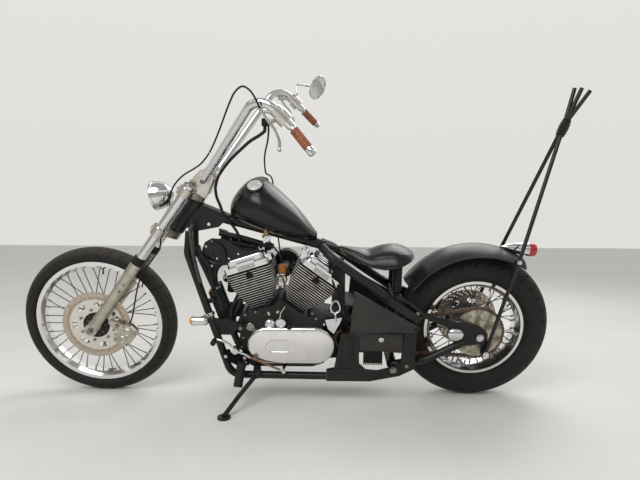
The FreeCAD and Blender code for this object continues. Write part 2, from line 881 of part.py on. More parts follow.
def bar_control(side, extras):
    """The switch housing, the lever's perch and the lever of one side."""
    run = (on_bar(grip_start, side) - on_bar(bar_bend, side)).normalize()
    first = on_bar(grip_start, side)
    perch = on_bar(perch_spot, side)
    pivot = on_bar(lever_pivot, side)
    housing = Part.makeCylinder(27, 34, first - run * 52, run)
    clamp = Part.makeCylinder(22, 20, perch - run * 10, run)
    arm_run = pivot - perch
    arm = Part.makeCylinder(9, arm_run.Length, perch, arm_run)
    knuckle = Part.makeCylinder(11, 20, pivot - UP * 10, UP)
    blade = cord([on_bar(point, side) for point in lever_blade], 5.5)
    ball = Part.makeSphere(8, on_bar(lever_blade[-1], side))
    shape = housing.fuse([clamp, arm, knuckle, blade, ball] + extras).cut(bar_room)
    return solid(f"bar_control_{side}", shape)


plug_low = Vector(838, 300, 1196)
plug = Part.makeBox(26, 26, 26, plug_low)
plug_arm_start = on_bar(grip_start - bar_run * 34, 1)
plug_arm_run = plug_low + Vector(10, 16, 12) - plug_arm_start
plug_arm = Part.makeCylinder(7, plug_arm_run.Length, plug_arm_start, plug_arm_run)
keep("bar_controls", gather("bar_controls_pair", bar_control(1, [plug, plug_arm]), bar_control(-1, [])))

mirror_centre = Vector(688, -400, 1354)
mirror_face = Vector(-0.76, 0.55, -0.34).normalize()
mirror_back = Part.makeCone(
    size("mirror_radius"), size("mirror_radius") * 0.6, 14, mirror_centre, mirror_face * -1,
)
mirror_way = UP.cross(FORWARD).cross(bar_run).normalize()
mirror_way = mirror_way * (1 if mirror_way.z > 0 else -1)
mirror_root = on_bar(perch_spot + mirror_way * 22.2, -1)
mirror_top = on_bar(perch_spot + mirror_way * 36, -1)
mirror_foot = Part.makeCylinder(8, (mirror_top - mirror_root).Length, mirror_root, mirror_top - mirror_root)
mirror_stem = pipe([mirror_top, Vector(783, -338, 1366), mirror_centre - mirror_face * 8], 5.5, 14)
keep("mirror", solid("mirror_shape", mirror_back.fuse([mirror_foot, mirror_stem])))

# Cables that the handlebar and the fork hold

lower_top = size("lower_clamp_height") + clamp_thickness / 2 + 0.3
lower_bottom = size("lower_clamp_height") - clamp_thickness / 2 - 0.3
cable_routes = [
    (
        "cable_radius",
        [
            Vector(862, 381, 1256), Vector(870, 392, 1280), Vector(890, 386, 1312), Vector(920, 360, 1328),
            Vector(954, 322, 1308), Vector(986, 284, 1258), Vector(1015, 246, 1206), Vector(1047, 208, 1150),
            Vector(1081, 174, 1096), Vector(1126, 144, 1046), on_fork(88, 114, 790), on_fork(98, 88, 724),
            on_fork(84, 66, 660), on_fork(50, 54, 622), on_fork(50, 54, lower_top),
        ],
    ),
    (
        "loom_radius",
        [
            Vector(854, 317, 1195.7), Vector(854, 317, 1180), Vector(876, 292, 1164), Vector(916, 254, 1143),
            Vector(960, 208, 1108), Vector(1006, 160, 1070), Vector(1046, 112, 1030), Vector(1080, 74, 988),
            Vector(1098, 46, 940), Vector(1096, 34, 900), Vector(1086, 30, 872),
        ],
    ),
    (
        "cable_radius",
        [
            Vector(843, 306, 1195.7), Vector(843, 306, 1178), Vector(850, 272, 1148), Vector(858, 236, 1130),
            Vector(872, 180, 1100), Vector(884, 116, 1070), Vector(892, 50, 1036), Vector(896, 0, 1003),
        ],
    ),
    (
        "cable_radius",
        [
            on_fork(24, 60, lower_bottom), on_fork(24, 60, lower_bottom - 24), on_fork(6, 62, 470),
            on_fork(5, 62, 400), on_fork(8, 62, 330), on_fork(-2, 62, 280), on_fork(-20, 62, 230),
            on_fork(-42, 64, 180), on_fork(-64, 68, 130), on_fork(-72, 69, 90),
        ],
    ),
]
cables = [
    solid(f"control_cable_{index}", cord(points, size(radius)))
    for index, (radius, points) in enumerate(cable_routes)
]
keep("control_cables", gather("control_cables_set", *cables))

# Headlight

lamp_axis = Vector(0.983, 0, -0.184).normalize()
lamp_face = Vector(1367, 0, 900)
lamp_frame = Placement(lamp_face, Rotation(FORWARD, lamp_axis))
lamp_shell = turned(
    "headlight_shell_body",
    [
        ("-headlight_depth", "0"),
        ("-14", "0"),
        ("-14", "headlight_radius - 6"),
        ("0", "headlight_radius - 4"),
        ("0", "headlight_radius"),
        ("-12", "headlight_radius"),
        ("arc", "-headlight_depth * 0.68", "headlight_radius * 0.72"),
    ],
    lamp_frame,
)
lamp_seat = on_fork(size("fork_offset") + 2, 0, size("lower_clamp_height") + clamp_thickness / 2 + 0.3)
lamp_elbow = lamp_seat + steer_up * 42
lamp_post = rod("headlight_post", lamp_face - lamp_axis * 48 - UP * 26, lamp_elbow, "9")
lamp_stud = rod("headlight_stud", lamp_seat, lamp_elbow, "9")
lamp_knuckle = solid("headlight_knuckle", Part.makeSphere(12, lamp_elbow))
keep("headlight_shell", join("headlight_shell_join", lamp_shell, lamp_post, lamp_stud, lamp_knuckle))


def lens_dome(radius):
    """How far along the lamp's axis the lens's round face lies, at a radius."""
    return f"(6 - lens_sphere + sqrt(lens_sphere * lens_sphere - {radius} * {radius}))"


keep(
    "headlight_lens",
    turned(
        "headlight_lens_body",
        [
            ("-13.5", "0"),
            ("-13.5", "headlight_radius - 7"),
            ("-6", "headlight_radius - 7"),
            ("arc", lens_dome("30"), "30"),
            (lens_dome("4"), "4"),
            (lens_dome("4"), "0"),
        ],
        lamp_frame,
    ),
)

# Front brake caliper, behind the left leg and over the disc's rim

disc_middle = size("front_hub_half") + 0.2 + size("disc_thickness") / 2
caliper_back = 128
caliper_spot = front_axle - steer_forward * caliper_back + steer_up * 40 + LEFT * disc_middle
caliper = Part.makeBox(76, 51.5, 96, Vector(-38, -20.5, -48))
caliper = caliper.fuse(Part.makeBox(caliper_back - 37, 13, 42, Vector(37, 18, 2)))
slot = Part.makeBox(120, size("disc_thickness") + 10, 200, Vector(-30, -size("disc_thickness") / 2 - 5, -100))
leg_room = Part.makeCylinder(
    size("slider_radius") - 2 + size("running_gap"), 300, Vector(caliper_back, leg_half - disc_middle, -150), UP,
)
caliper = caliper.cut([slot, leg_room])
keep("front_caliper", solid("front_caliper_shape", caliper, Placement(caliper_spot, fork_frame)))


# Frame

head_low = on_fork(0, 0, size("lower_clamp_height") + clamp_thickness / 2 + 1)
head_high = on_fork(0, 0, size("upper_clamp_height") - clamp_thickness / 2 - 1)
head_middle = between(head_low, head_high, 0.5)
seat_junction = Vector(650, 0, 690)
backbone_start = head_middle + Vector(-12, 0, 20)
backbone_bend = Vector(1000, 0, 787)

neck = Part.makeCylinder(size("head_tube_radius"), (head_high - head_low).Length, head_low, steer_up)
gusset_outline = [
    head_high + Vector(-20, 0, -22),
    between(backbone_start, backbone_bend, 0.79) + Vector(0, 0, 20),
    between(backbone_start, backbone_bend, 0.56) - Vector(0, 0, 40),
    head_low + Vector(-96, 0, -4),
    head_low + Vector(-26, 0, 16),
]
gusset_half = 22
gusset = prism([(point.x, point.z) for point in gusset_outline], -gusset_half, gusset_half)
backbone = pipe([backbone_start, backbone_bend, seat_junction], size("backbone_radius"), 200)
spine = neck.fuse([gusset, backbone])
neck_bore = (head_high - head_low).Length + 2 * size("head_tube_radius")
spine = spine.cut(
    Part.makeCylinder(
        size("stem_radius") + 0.5, neck_bore, head_low - steer_up * size("head_tube_radius"), steer_up,
    )
)
keep("frame_backbone", solid("frame_backbone_shape", spine))


cradle_points = [
    Vector(1216, 46, 760),
    Vector(1224, 62, 669),
    Vector(1157, 90, 468),
    Vector(1052, 118, 140),
    Vector(640.3, size("rail_half"), 137),
]
downtube_run = (cradle_points[3] - cradle_points[2]).normalize()


def cradle_tube(side, radius):
    return pipe([handed(point, side) for point in cradle_points], radius, 60)


def cradle_room(side):
    """What a piece that seats on the downtube or the lower rail is cut by."""
    return cradle_tube(side, size("downtube_radius") + size("running_gap"))


def cradle(side):
    """A downtube that runs on as the lower rail, with the plate that holds the engine's front."""
    mount = prism(
        [
            (1124, 392), (1046, 384), (1019.4, 377), ("arc", 1022.3, 366), (1019.4, 355), (1040, 318), (1098, 318),
        ], size("cylinder_half") + 8, 104,
    )
    return solid(f"cradle_{side}", cradle_tube(side, size("downtube_radius")).fuse(flipped(mount, side)))


keep("cradle_right", cradle(-1))


rail_points = [Vector(660, 40, 691), Vector(620, 96, 662), Vector(262, 128, 405)]


def rail_tube(side, radius):
    return pipe([handed(point, side) for point in rail_points], radius, 60)


def rear_frame(side):
    """The sloping rail, its flat lug, and the cast lower plate with its upright and sunk panel."""
    inner = size("frame_plate_inner")
    outer = inner + size("frame_plate_thickness")
    outline = [
        (640, 124), (640, 172), (606, 180), (578, 344), (505, 347), (500, 200), (470, 172), (420, 168),
        (360, 185), (322, 215), (314, 345), (318, 400), (262, 402), (264, 185), (330, 150), (455, 124),
    ]
    web = prism(outline, inner, outer)
    panel = prism([(588, 184), (570, 318), ("arc", 544, 338), (520, 316), (536, 182)], outer - 3, outer + 3)
    lug = prism([(392, 502), (378, 508), (252, 424), (250, 402), (266, 396), (386, 476)], inner + 6, outer + 6)
    shape = web.cut(panel).fuse([rail_tube(1, size("rail_radius")), lug])
    return solid(f"rear_frame_{side}", flipped(shape, side))


keep("rear_frame_left", rear_frame(1))
keep("rear_frame_right", rear_frame(-1))


# Swingarm, with no joint: its suspension stays at ride height

pivot = Vector(size("pivot_x"), 0, size("pivot_z"))
apex = Vector(size("pivot_x"), 0, 478)
arm_middle = size("arm_plate_inner") + size("arm_plate_thickness") / 2


def arm_side(side):
    lower = pipe(
        [
            handed(pivot + LEFT * 86, side),
            handed(Vector(284, 92, 194), side),
            handed(Vector(214, arm_middle - 2, 222), side),
            handed(Vector(60, arm_middle, 306), side),
        ],
        size("arm_radius"), 40,
    )
    upper = pipe(
        [
            handed(apex + LEFT * 86, side),
            handed(Vector(290, 90, 462), side),
            handed(Vector(236, 118, 424), side),
            handed(Vector(130, arm_middle, 384), side),
        ],
        size("stay_radius"), 40,
    )
    outline = [
        (150, 404), (77, 396), (-12, 371), (-34, 346), (-40, 250), (-12, 250), (-8, 298), (74, 288), (116, 318),
        (132, 366),
    ]
    web = flipped(prism(outline, size("arm_plate_inner"), arm_middle * 2 - size("arm_plate_inner")), side)
    strut = Part.makeCylinder(11, apex.z - pivot.z, handed(pivot + LEFT * 58, side), UP)
    return [lower, upper, web, strut]


cross_tubes = [
    Part.makeCylinder(22, 172, pivot - LEFT * 86, LEFT),
    Part.makeCylinder(size("stay_radius"), 172, apex - LEFT * 86, LEFT),
]
swingarm = cross_tubes[0].fuse(cross_tubes[1:] + arm_side(1) + arm_side(-1))
swingarm = swingarm.cut(
    Part.makeCylinder(size("rear_axle_radius") + 0.1, 400, rear_axle - LEFT * 200, LEFT)
)
keep("swingarm", solid("swingarm_shape", swingarm))


# Engine

case_outline = [
    (996, 196), (1012, 300), (1004, 400), (968, 440), (816, 480), (760, 440), (722, 405), (649, 398), (640, 300),
    (650, 190), (700, 172), (960, 172),
]
gearcase_outline = [
    (640, 398), (560, 380), (530, 360), (512, 300), (520, 240), (580, 196), (700, 190), (700, 398),
]
crankcase = prism(case_outline, -size("crankcase_half"), size("crankcase_half"))
gearcase = prism(gearcase_outline, -size("gearcase_half"), size("gearcase_half"))
engine_mounts = Part.makeCylinder(22, 2 * size("crankcase_half") + 24, Vector(1000, -size("crankcase_half") - 12, 366), LEFT)


def cylinder_frame(tilt_degrees, base):
    return Placement(base, Rotation(LEFT, tilt_degrees))


front_cylinder_frame = cylinder_frame(size("front_cylinder_tilt"), Vector(918, 0, 437))
rear_cylinder_frame = cylinder_frame(-size("rear_cylinder_tilt"), Vector(775, 0, 438))
decks = []
for place in (front_cylinder_frame, rear_cylinder_frame):
    deck_half = size("fin_low_half") + 18
    deck = Part.makeBox(deck_half * 2, 300, 260, Vector(-deck_half, -150, -size("running_gap")))
    deck.Placement = place
    decks.append(deck)
keep("crankcase", solid("crankcase_shape", crankcase.fuse([gearcase, engine_mounts]).cut(decks)))


def fin_half(level):
    """Half the length of a fin along the bike: the block widens fast at its foot and slowly at its head."""
    rest = 1 - min(level / (size("fin_pitch") * size("fin_count")), 1)
    return size("fin_high_half") - (size("fin_high_half") - size("fin_low_half")) * rest ** 2


def fin_wide(level):
    return size("cylinder_half") * (0.8 + 0.2 * level / size("cylinder_height"))


def rounded_slab(half, wide, low, thickness, corner):
    """A flat plate with round corners, square to a cylinder's axis."""
    slab = Part.makeBox(half * 2, wide * 2, thickness, Vector(-half, -wide, low))
    upright = [edge for edge in slab.Edges if abs(edge.tangentAt(0).z) > 0.9]
    return slab.makeFillet(corner, upright)


def finned_cylinder(label, place):
    """Thin fins on a barrel under a head plate, with a round plug among the fins of the outer side."""
    height = size("cylinder_height")
    barrel = Part.makeCylinder(size("barrel_radius"), height, Vector(), UP)
    fins = []
    for index in range(int(size("fin_count"))):
        level = size("first_fin") + index * size("fin_pitch")
        fins.append(rounded_slab(fin_half(level), fin_wide(level), level, size("fin_thickness"), 18))
    head = rounded_slab(size("fin_high_half") - 4, size("cylinder_half") - 3, height - 9, 9, 18)
    plug = Part.makeCylinder(15, 2 * size("cylinder_half") + 6, Vector(0, -size("cylinder_half") - 3, height - 26), LEFT)
    return keep(label, solid(f"{label}_shape", barrel.fuse(fins + [head, plug]), place))


finned_cylinder("front_cylinder", front_cylinder_frame)
finned_cylinder("rear_cylinder", rear_cylinder_frame)


def rocker_cover(label, place, inward):
    """A bright band round the head with a raised plate on each side, under a smaller dome."""
    side = size("cylinder_half") + 4
    half = size("fin_high_half") - 1
    low = size("cylinder_height") + size("running_gap")
    band = rounded_slab(half, side, low, size("rocker_height"), 20)
    top = low + size("rocker_height")
    plates = Part.makeBox(78, 2 * side + 4, 22, Vector(-39, -side - 2, top - 12))
    dome = rounded_slab(half - 14, side - 16, top, size("rocker_dome_height"), 26)
    dome_top = [edge for edge in dome.Edges if edge.BoundBox.ZMin > top + size("rocker_dome_height") - 0.1]
    dome = dome.makeFillet(12, dome_top)
    ridge = Part.makeCylinder(17, half * 1.3, Vector(-half * 0.65, 0, top + size("rocker_dome_height") - 8), FORWARD)
    tabs = [
        Part.makeBox(20, 20, 26, Vector(inward * (half + 3) - 10, edge - 10, top - 14))
        for edge in (side - 22, 22 - side)
    ]
    return solid(label, band.fuse([plates, dome, ridge] + tabs), place)


keep(
    "rocker_covers",
    gather(
        "rocker_covers_pair",
        rocker_cover("front_rocker", front_cylinder_frame, -1),
        rocker_cover("rear_rocker", rear_cylinder_frame, 1),
    ),
)

cover_centre = Vector(788.5, size("crankcase_half") + 0.3, 290)
cover_frame = Placement(cover_centre, Rotation(Vector(-1, 0, 0), UP, LEFT, "ZXY"))
cover_body = plate(
    "primary_cover_body",
    [
        ("cover_length / 2 - cover_height / 2", "-cover_height / 2"),
        ("arc", "cover_length / 2", "0"),
        ("cover_length / 2 - cover_height / 2", "cover_height / 2"),
        ("-cover_length / 2 + cover_height / 2", "cover_height / 2"),
        ("arc", "-cover_length / 2", "0"),
        ("-cover_length / 2 + cover_height / 2", "-cover_height / 2"),
    ],
    "cover_depth",
    cover_frame,
)
doc.recompute()
cover_face = cover_centre.y + size("cover_depth")
cover_rim = [
    number
    for number, edge in enumerate(cover_body.Shape.Edges, start=1)
    if edge.BoundBox.YMin > cover_face - 0.01
]
cover_rounded = doc.addObject("Part::Fillet", "primary_cover_rounded")
cover_rounded.Base = cover_body
cover_rounded.Edges = [(number, size("cover_edge"), size("cover_edge")) for number in cover_rim]
recess = prism(
    [(867, 268), ("arc", 894, 295), (867, 322), (806, 322), ("arc", 779, 295), (806, 268)],
    cover_face - 2.5, cover_face + 10,
)
seam_run = Vector(-62, 0, 138)
seam = Part.makeBox(1.6, 12, 260, Vector(-0.8, 0, -130))
seam.Placement = Placement(Vector(762, cover_face - 1.6, 301), Rotation(UP, seam_run))
cover_cuts = solid("primary_cover_cuts", Part.makeCompound([recess, seam]))
cover_carved = carve("primary_cover_carved", cover_rounded, cover_cuts)
dial_low = cover_centre.y
dial = rod("timing_dial", Vector(830, dial_low, 394), Vector(830, dial_low + 44, 394), "21")
dial_face = rod("timing_dial_face", Vector(830, dial_low + 43, 394), Vector(830, dial_low + 47, 394), "17")
cap_dome = turned(
    "timing_cap", [("0", "0"), ("0", "26"), ("20", "25"), ("arc", "32", "17"), ("36", "0")],
    Placement(Vector(878, dial_low, 378), Rotation(UP, 90)),
)
keep("primary_cover", join("primary_cover_join", cover_carved, dial, dial_face, cap_dome))
corner_cover = prism([(646, 408), (576, 419), (584, 394), (610, 346), (634, 368)], size("gearcase_half") + 0.3, 146)
keep("sprocket_cover", solid("sprocket_cover_shape", corner_cover))

keep(
    "clutch_cover",
    turned(
        "clutch_cover_body",
        [
            ("0", "0"),
            ("0", "clutch_cover_radius"),
            ("30", "clutch_cover_radius * 0.95"),
            ("arc", "42", "clutch_cover_radius * 0.87"),
            ("47", "clutch_cover_radius * 0.73"),
            ("50", "0"),
        ],
        Placement(Vector(820, -size("crankcase_half") - 0.3, 301), Rotation(UP, -90)),
    ),
)

port_level = size("intake_height")
port_reach = size("fin_high_half") + size("running_gap")
flange_radius = size("intake_flange_radius")
flange_fin = math.floor((port_level + flange_radius - size("first_fin")) / size("fin_pitch"))
intake_reach = fin_half(size("first_fin") + flange_fin * size("fin_pitch")) + size("running_gap")
front_intake = front_cylinder_frame.multVec(Vector(-intake_reach, 0, port_level))
rear_intake = rear_cylinder_frame.multVec(Vector(intake_reach, 0, port_level))
front_inward = front_cylinder_frame.Rotation.multVec(Vector(-1, 0, 0))
rear_inward = rear_cylinder_frame.Rotation.multVec(Vector(1, 0, 0))
intake_middle = between(front_intake, rear_intake, 0.5)
intake = Part.makeCylinder(21, 120, intake_middle - LEFT * 84, LEFT)
bowl = Part.makeCylinder(17, 46, intake_middle - LEFT * 40 - UP * 46, UP)
flanges = [
    Part.makeCylinder(flange_radius, 16, front_intake, front_inward),
    Part.makeCylinder(flange_radius, 16, rear_intake, rear_inward),
]
air_cleaner = Part.makeCylinder(58, 40, intake_middle - LEFT * 124, LEFT)
keep("carburettor", solid("carburettor_shape", intake.fuse([bowl, air_cleaner] + flanges)))

exhaust_side = -182
exhaust_level = size("exhaust_height")
front_port = front_cylinder_frame.multVec(Vector(port_reach, -48, exhaust_level))
front_outlet = front_cylinder_frame.multVec(Vector(port_reach + 30, -48, exhaust_level))
rear_port = rear_cylinder_frame.multVec(Vector(-port_reach, -40, exhaust_level))
rear_outlet = rear_cylinder_frame.multVec(Vector(-port_reach - 34, -40, exhaust_level))
front_pipe = pipe(
    [
        front_port, front_outlet, Vector(1084, -134, 474), Vector(1008, exhaust_side, 372),
        Vector(928, exhaust_side, 270), Vector(96, exhaust_side, 282),
    ],
    size("exhaust_radius"), 26,
)
rear_pipe = pipe(
    [
        rear_port, rear_outlet, Vector(574, exhaust_side, 440), Vector(558, exhaust_side, 332),
        Vector(96, exhaust_side, 345),
    ],
    size("exhaust_radius"), 32,
)
keep(
    "exhaust_pipes",
    gather("exhaust_pipes_pair", solid("front_exhaust", front_pipe), solid("rear_exhaust", rear_pipe)),
)

# Radiator between the downtubes, drawn square to them, and the horn above it

radiator_centre = Vector(1100, 0, 405)
radiator_frame = Placement(radiator_centre, Rotation(LEFT, 17.8))
core = [Part.makeBox(18, 104, 190, Vector(-9, -52, -95))]
core += [Part.makeBox(30, 16, 200, Vector(-15, side * 58 - 8, -100)) for side in (1, -1)]
core += [Part.makeBox(30, 132, 10, Vector(-15, -66, level)) for level in (-100, 90)]
core += [Part.makeBox(26, 104, 1.8, Vector(-13, -52, -84 + step * 9)) for step in range(19)]
ears = [
    Part.makeBox(50, 24, 16, Vector(-6, low, level - 8))
    for low in (62, -86)
    for level in (-40, 66)
]
radiator = core[0].fuse(core[1:] + ears)
radiator.Placement = radiator_frame
radiator = radiator.cut([cradle_room(1), cradle_room(-1)])
keep("radiator", solid("radiator_shape", radiator))

horn_centre = Vector(1112, 62, 668)
horn_axis = Vector(0.28, 1, -0.1).normalize()
horn = turned(
    "horn_body",
    [("-22", "0"), ("-22", "30"), ("arc", "-10", "50"), ("0", "54"), ("4", "54"), ("4", "44"), ("0", "40"), ("3", "12"), ("6", "0")],
    Placement(horn_centre, Rotation(FORWARD, horn_axis)),
)
horn_arm = Part.makeBox(76, 10, 22, Vector(1140, 44, 652)).cut(cradle_room(1))
keep("horn", join("horn_join", horn, solid("horn_bracket", horn_arm)))


# Bodywork

tank_stations = [
    (1045, 830, 860, 20),
    (1026, 814, 905, 64),
    (985, 800, 953, 106),
    (932, 783, 979, 133),
    (880, 766, 958, size("tank_half")),
    (820, 747, 905, 128),
    (760, 732, 844, 98),
    (712, 724, 784, 58),
    (682, 724, 748, 18),
]
tank = lofted(tank_stations, 0.38)
tunnel = pipe(
    [backbone_start, backbone_bend, seat_junction], size("backbone_radius") + size("running_gap"), 200,
)
cap_tilt = Vector(0.1, 0.5, 0.86).normalize()
cap_spots = [Vector(929, 77, 948), Vector(929, -77, 948)]
cap_axes = [cap_tilt, mirrored(cap_tilt)]
cap_seats = [
    Part.makeCylinder(size("cap_radius") + 0.3, 60, spot, axis) for spot, axis in zip(cap_spots, cap_axes)
]
gusset_reach = gusset_half + size("running_gap")
gusset_room = block(1000, 1200, -gusset_reach, gusset_reach, 700, 860)
keep("fuel_tank", solid("fuel_tank_shape", tank.cut([tunnel, gusset_room] + cap_seats)))
keep(
    "fuel_caps",
    gather(
        "fuel_caps_pair",
        *[
            solid(f"fuel_cap_{index}", Part.makeCylinder(size("cap_radius"), 20, spot + axis * 0.3, axis))
            for index, (spot, axis) in enumerate(zip(cap_spots, cap_axes))
        ],
    ),
)

seat_stations = [
    (586, 666, 690, 18),
    (562, 644, 688, 34),
    (510, 626, 679, 66),
    (462, 613, 669, 92),
    (428, 607, 680, 106),
    (398, 604, 689, 114),
    (353, 612, 693, size("seat_half")),
    (314, 632, 685, 114),
    (290, 644, 674, 88),
    (272, 650, 662, 40),
]
seat = lofted(seat_stations, 0.2)
keep("seat", solid("seat_shape", seat))

seat_room = seat.translated(UP * -size("running_gap")).fuse(seat.translated(UP * 14))
tongue_run = (seat_junction - backbone_bend).normalize()
seat_tongue = Part.makeCylinder(12, 90, seat_junction + tongue_run * size("running_gap"), tongue_run).cut(seat_room)
saddle_half = size("frame_plate_inner") + 5.5
saddle_bar = block(330, 356, -saddle_half, saddle_half, 492, 510)
saddle_feet = [flipped(block(330, 356, 106, saddle_half, 462, 494), side) for side in (1, -1)]
rail_rooms = [rail_tube(side, size("rail_radius") + size("running_gap")) for side in (1, -1)]
saddle = saddle_bar.fuse(saddle_feet).cut(rail_rooms)


def seat_spring(side):
    """A barrel spring on the cross bar, its coils drawn as rings."""
    radius = size("seat_spring_radius")
    spot = Vector(343, side * 70, 509)
    rings = [Part.makeTorus(radius - 4, 4.5, spot + UP * (6 + 11 * step)) for step in range(11)]
    core = Part.makeCylinder(radius - 4, 130, spot, UP)
    return core.fuse(rings).cut(seat_room)


springs = [seat_spring(1), seat_spring(-1)]
keep(
    "seat_mount",
    gather("seat_mount_set", solid("seat_nose", seat_tongue), solid("seat_rear", saddle.fuse(springs))),
)

fender_angle = value("fender_rear_angle - fender_front_angle")
fender = turned(
    "rear_fender_body",
    [
        ("-fender_half - fender_lip", "fender_edge_radius - 3"),
        ("-fender_half - fender_lip", "fender_edge_radius + 3"),
        ("-fender_half", "fender_edge_radius + 3"),
        ("arc", "0", "fender_radius"),
        ("fender_half", "fender_edge_radius + 3"),
        ("fender_half + fender_lip", "fender_edge_radius + 3"),
        ("fender_half + fender_lip", "fender_edge_radius - 3"),
        ("fender_half - fender_wall", "fender_edge_radius - 3"),
        ("arc", "0", "fender_radius - fender_wall"),
        ("-fender_half + fender_wall", "fender_edge_radius - 3"),
    ],
    Placement(rear_axle, Rotation(LEFT, 180 - size("fender_rear_angle")).multiply(across)),
    fender_angle,
)
keep("rear_fender", fender)

tail_start = Vector(-100, 0, 690)
tail_axis = Vector(-0.99, 0, -0.12).normalize()
tail_frame = Placement(tail_start, Rotation(FORWARD, tail_axis))
tail_shell = turned(
    "taillight_housing_body",
    [
        ("0", "0"), ("arc", "50", "19"), ("125", "27"), ("138", "27"), ("138", "0"),
    ],
    tail_frame,
)
fender_room = turned(
    "fender_room",
    [
        ("-fender_half - running_gap", "fender_edge_radius"),
        ("-fender_half - running_gap", "fender_edge_radius + 3"),
        ("arc", "0", "fender_radius + running_gap"),
        ("fender_half + running_gap", "fender_edge_radius + 3"),
        ("fender_half + running_gap", "fender_edge_radius"),
    ],
    Placement(rear_axle, across),
)
doc.recompute()

knuckle = Vector(-303, 0, 1182)
sissy_bend = Vector(-140, 112, 645)
boss_spot = sissy_bend + (knuckle - sissy_bend).normalize() * 7
legs = []
for side, tip in ((1, Vector(-342, -22, 1336)), (-1, Vector(-383, 22, 1326))):
    foot = handed(Vector(-26, 146, 262), side)
    legs.append(
        pipe([foot, handed(sissy_bend, side), knuckle + LEFT * side * 4, tip], size("sissy_radius"), 60)
    )
    legs.append(Part.makeCylinder(11, 20, foot - LEFT * side * 11.7, LEFT * side))
    boss = Part.makeCylinder(6, 50, handed(boss_spot, side), LEFT * -side)
    legs.append(boss.cut(fender_room.Shape))
centre_prong = Part.makeCylinder(size("sissy_radius"), 170, knuckle - Vector(0, 0, 6), Vector(-58, 0, 163))
keep("sissy_bar", solid("sissy_bar_shape", centre_prong.fuse(legs)))
keep("taillight_housing", carve("taillight_housing_cut", tail_shell, fender_room))
keep(
    "taillight_lens",
    turned(
        "taillight_lens_body",
        [
            ("138.3", "0"), ("138.3", "25"), ("144", "25"), ("arc", "150", "14"), ("152", "3"), ("152", "0"),
        ],
        tail_frame,
    ),
)

cover_outline = [(527, 538), (542, 360), (268, 358), (252, 371), (262, 386)]


def side_cover(side):
    inner = size("frame_plate_inner") + size("frame_plate_thickness") + 6.3
    skin = prism(cover_outline, inner, inner + size("cover_wall"))
    feet = prism([(540, 368), (538, 346), (262, 362), (256, 380)], inner - 6, inner)
    return solid(f"side_cover_{side}", flipped(skin.fuse(feet), side))


keep("side_covers", gather("side_covers_pair", side_cover(1), side_cover(-1)))

box_left = 319.4
box_right = 501.8
tool_box = block(box_left, box_right, 103, 136, 263, 343)
tool_box = tool_box.cut(block(box_left + 8, box_right - 8, 135, 137, 267, 339)).fuse(
    block(box_left + 9.5, box_right - 9.5, 134, 136.5, 268.5, 337.5)
)
lock = Part.makeCylinder(9, 5, Vector(410, 136, 318), LEFT)
keep("tool_box", solid("tool_box_shape", tool_box.fuse(lock)))

ribs = [block(401 + step * 7, 404.5 + step * 7, 110, 130, 195, 262.7) for step in range(12)]
keep("regulator", solid("regulator_shape", block(401, 481.5, 103, 113, 195, 262.7).fuse(ribs)))

# Foot controls, lamps and stand


def foot_control(side):
    """A plate bolted to the downtube and the engine, with the pedal's pivot above and the peg's fork below."""
    web = prism(
        [
            (1078, 226), (1078, 244), (1066, 252), (1036, 252), (1032, 282), (1012, 284), (1006, 250), (984, 246),
            (972, 236), (970, 196), (1014, 190),
        ],
        134, 142,
    )
    front_boss = Part.makeCylinder(11, 34, Vector(1064, 102, 240), LEFT)
    rear_boss = Part.makeCylinder(9, 134 - size("crankcase_half") - 0.3, Vector(985, size("crankcase_half") + 0.3, 232), LEFT)
    peg_ears = [block(low, low + 7, 134, 158, 196, 222) for low in (978, 1007)]
    pivot = Vector(1022, 142, 272)
    hub_post = Part.makeCylinder(7, 22, pivot - LEFT * 6, LEFT)
    hub = Part.makeCylinder(13, 16, pivot + LEFT * 10, LEFT)
    toe = Vector(1106, 152, 322)
    lever = cord([pivot + LEFT * 16, Vector(1044, 157, 300), Vector(1076, 155, 316), toe], 5)
    toe_peg = Part.makeCylinder(8, 46, toe - LEFT * 4, LEFT)
    heel = cord([pivot + LEFT * 16, Vector(1000, 158, 262), Vector(966, 158, 245)], 5)
    shape = web.fuse([front_boss, rear_boss, hub_post, hub, lever, toe_peg, heel] + peg_ears)
    return solid(f"foot_control_{side}", flipped(shape.cut(cradle_room(1)), side))


left_control = foot_control(1)
shift_start = Vector(972, 161, 247)
shift_run = Vector(820, 163, 180) - shift_start
shift_rod_shape = Part.makeCylinder(4.5, shift_run.Length, shift_start, shift_run)
shift_eye = Part.makeCylinder(8, 12, Vector(820, 156, 180), LEFT)
shift_arm = prism([(814, 190), (828, 190), (826, 170), (814, 170)], 144, 156.5)
shift_post = Part.makeCylinder(6, 50, Vector(820, 104.3, 182), LEFT)
linkage = shift_rod_shape.fuse([shift_eye, shift_arm, shift_post])
left_shape = left_control.Shape.fuse(linkage)
keep("foot_controls", gather("foot_controls_pair", solid("foot_control_left", left_shape), foot_control(-1)))

pegs = []
for side in (1, -1):
    top = Vector(998, 158.3, 212)
    run = Vector(12, 44, -84)
    peg = Part.makeCylinder(size("peg_radius"), run.Length, top, run)
    rings = [
        Part.makeTorus(size("peg_radius"), 1.5, top + run * share, run)
        for share in (0.16, 0.34, 0.52, 0.7, 0.88)
    ]
    tongue = block(985.3, 1006.7, 144, 172, 200, 220)
    ear_room = block(960, 1030, 120, 158.3, 180, 240).cut(block(985.2, 1006.8, 143, 159, 199, 221))
    pegs.append(solid(f"peg_{side}", flipped(peg.fuse(rings + [tongue]).cut(ear_room), side)))
keep("foot_pegs", gather("foot_pegs_pair", *pegs))

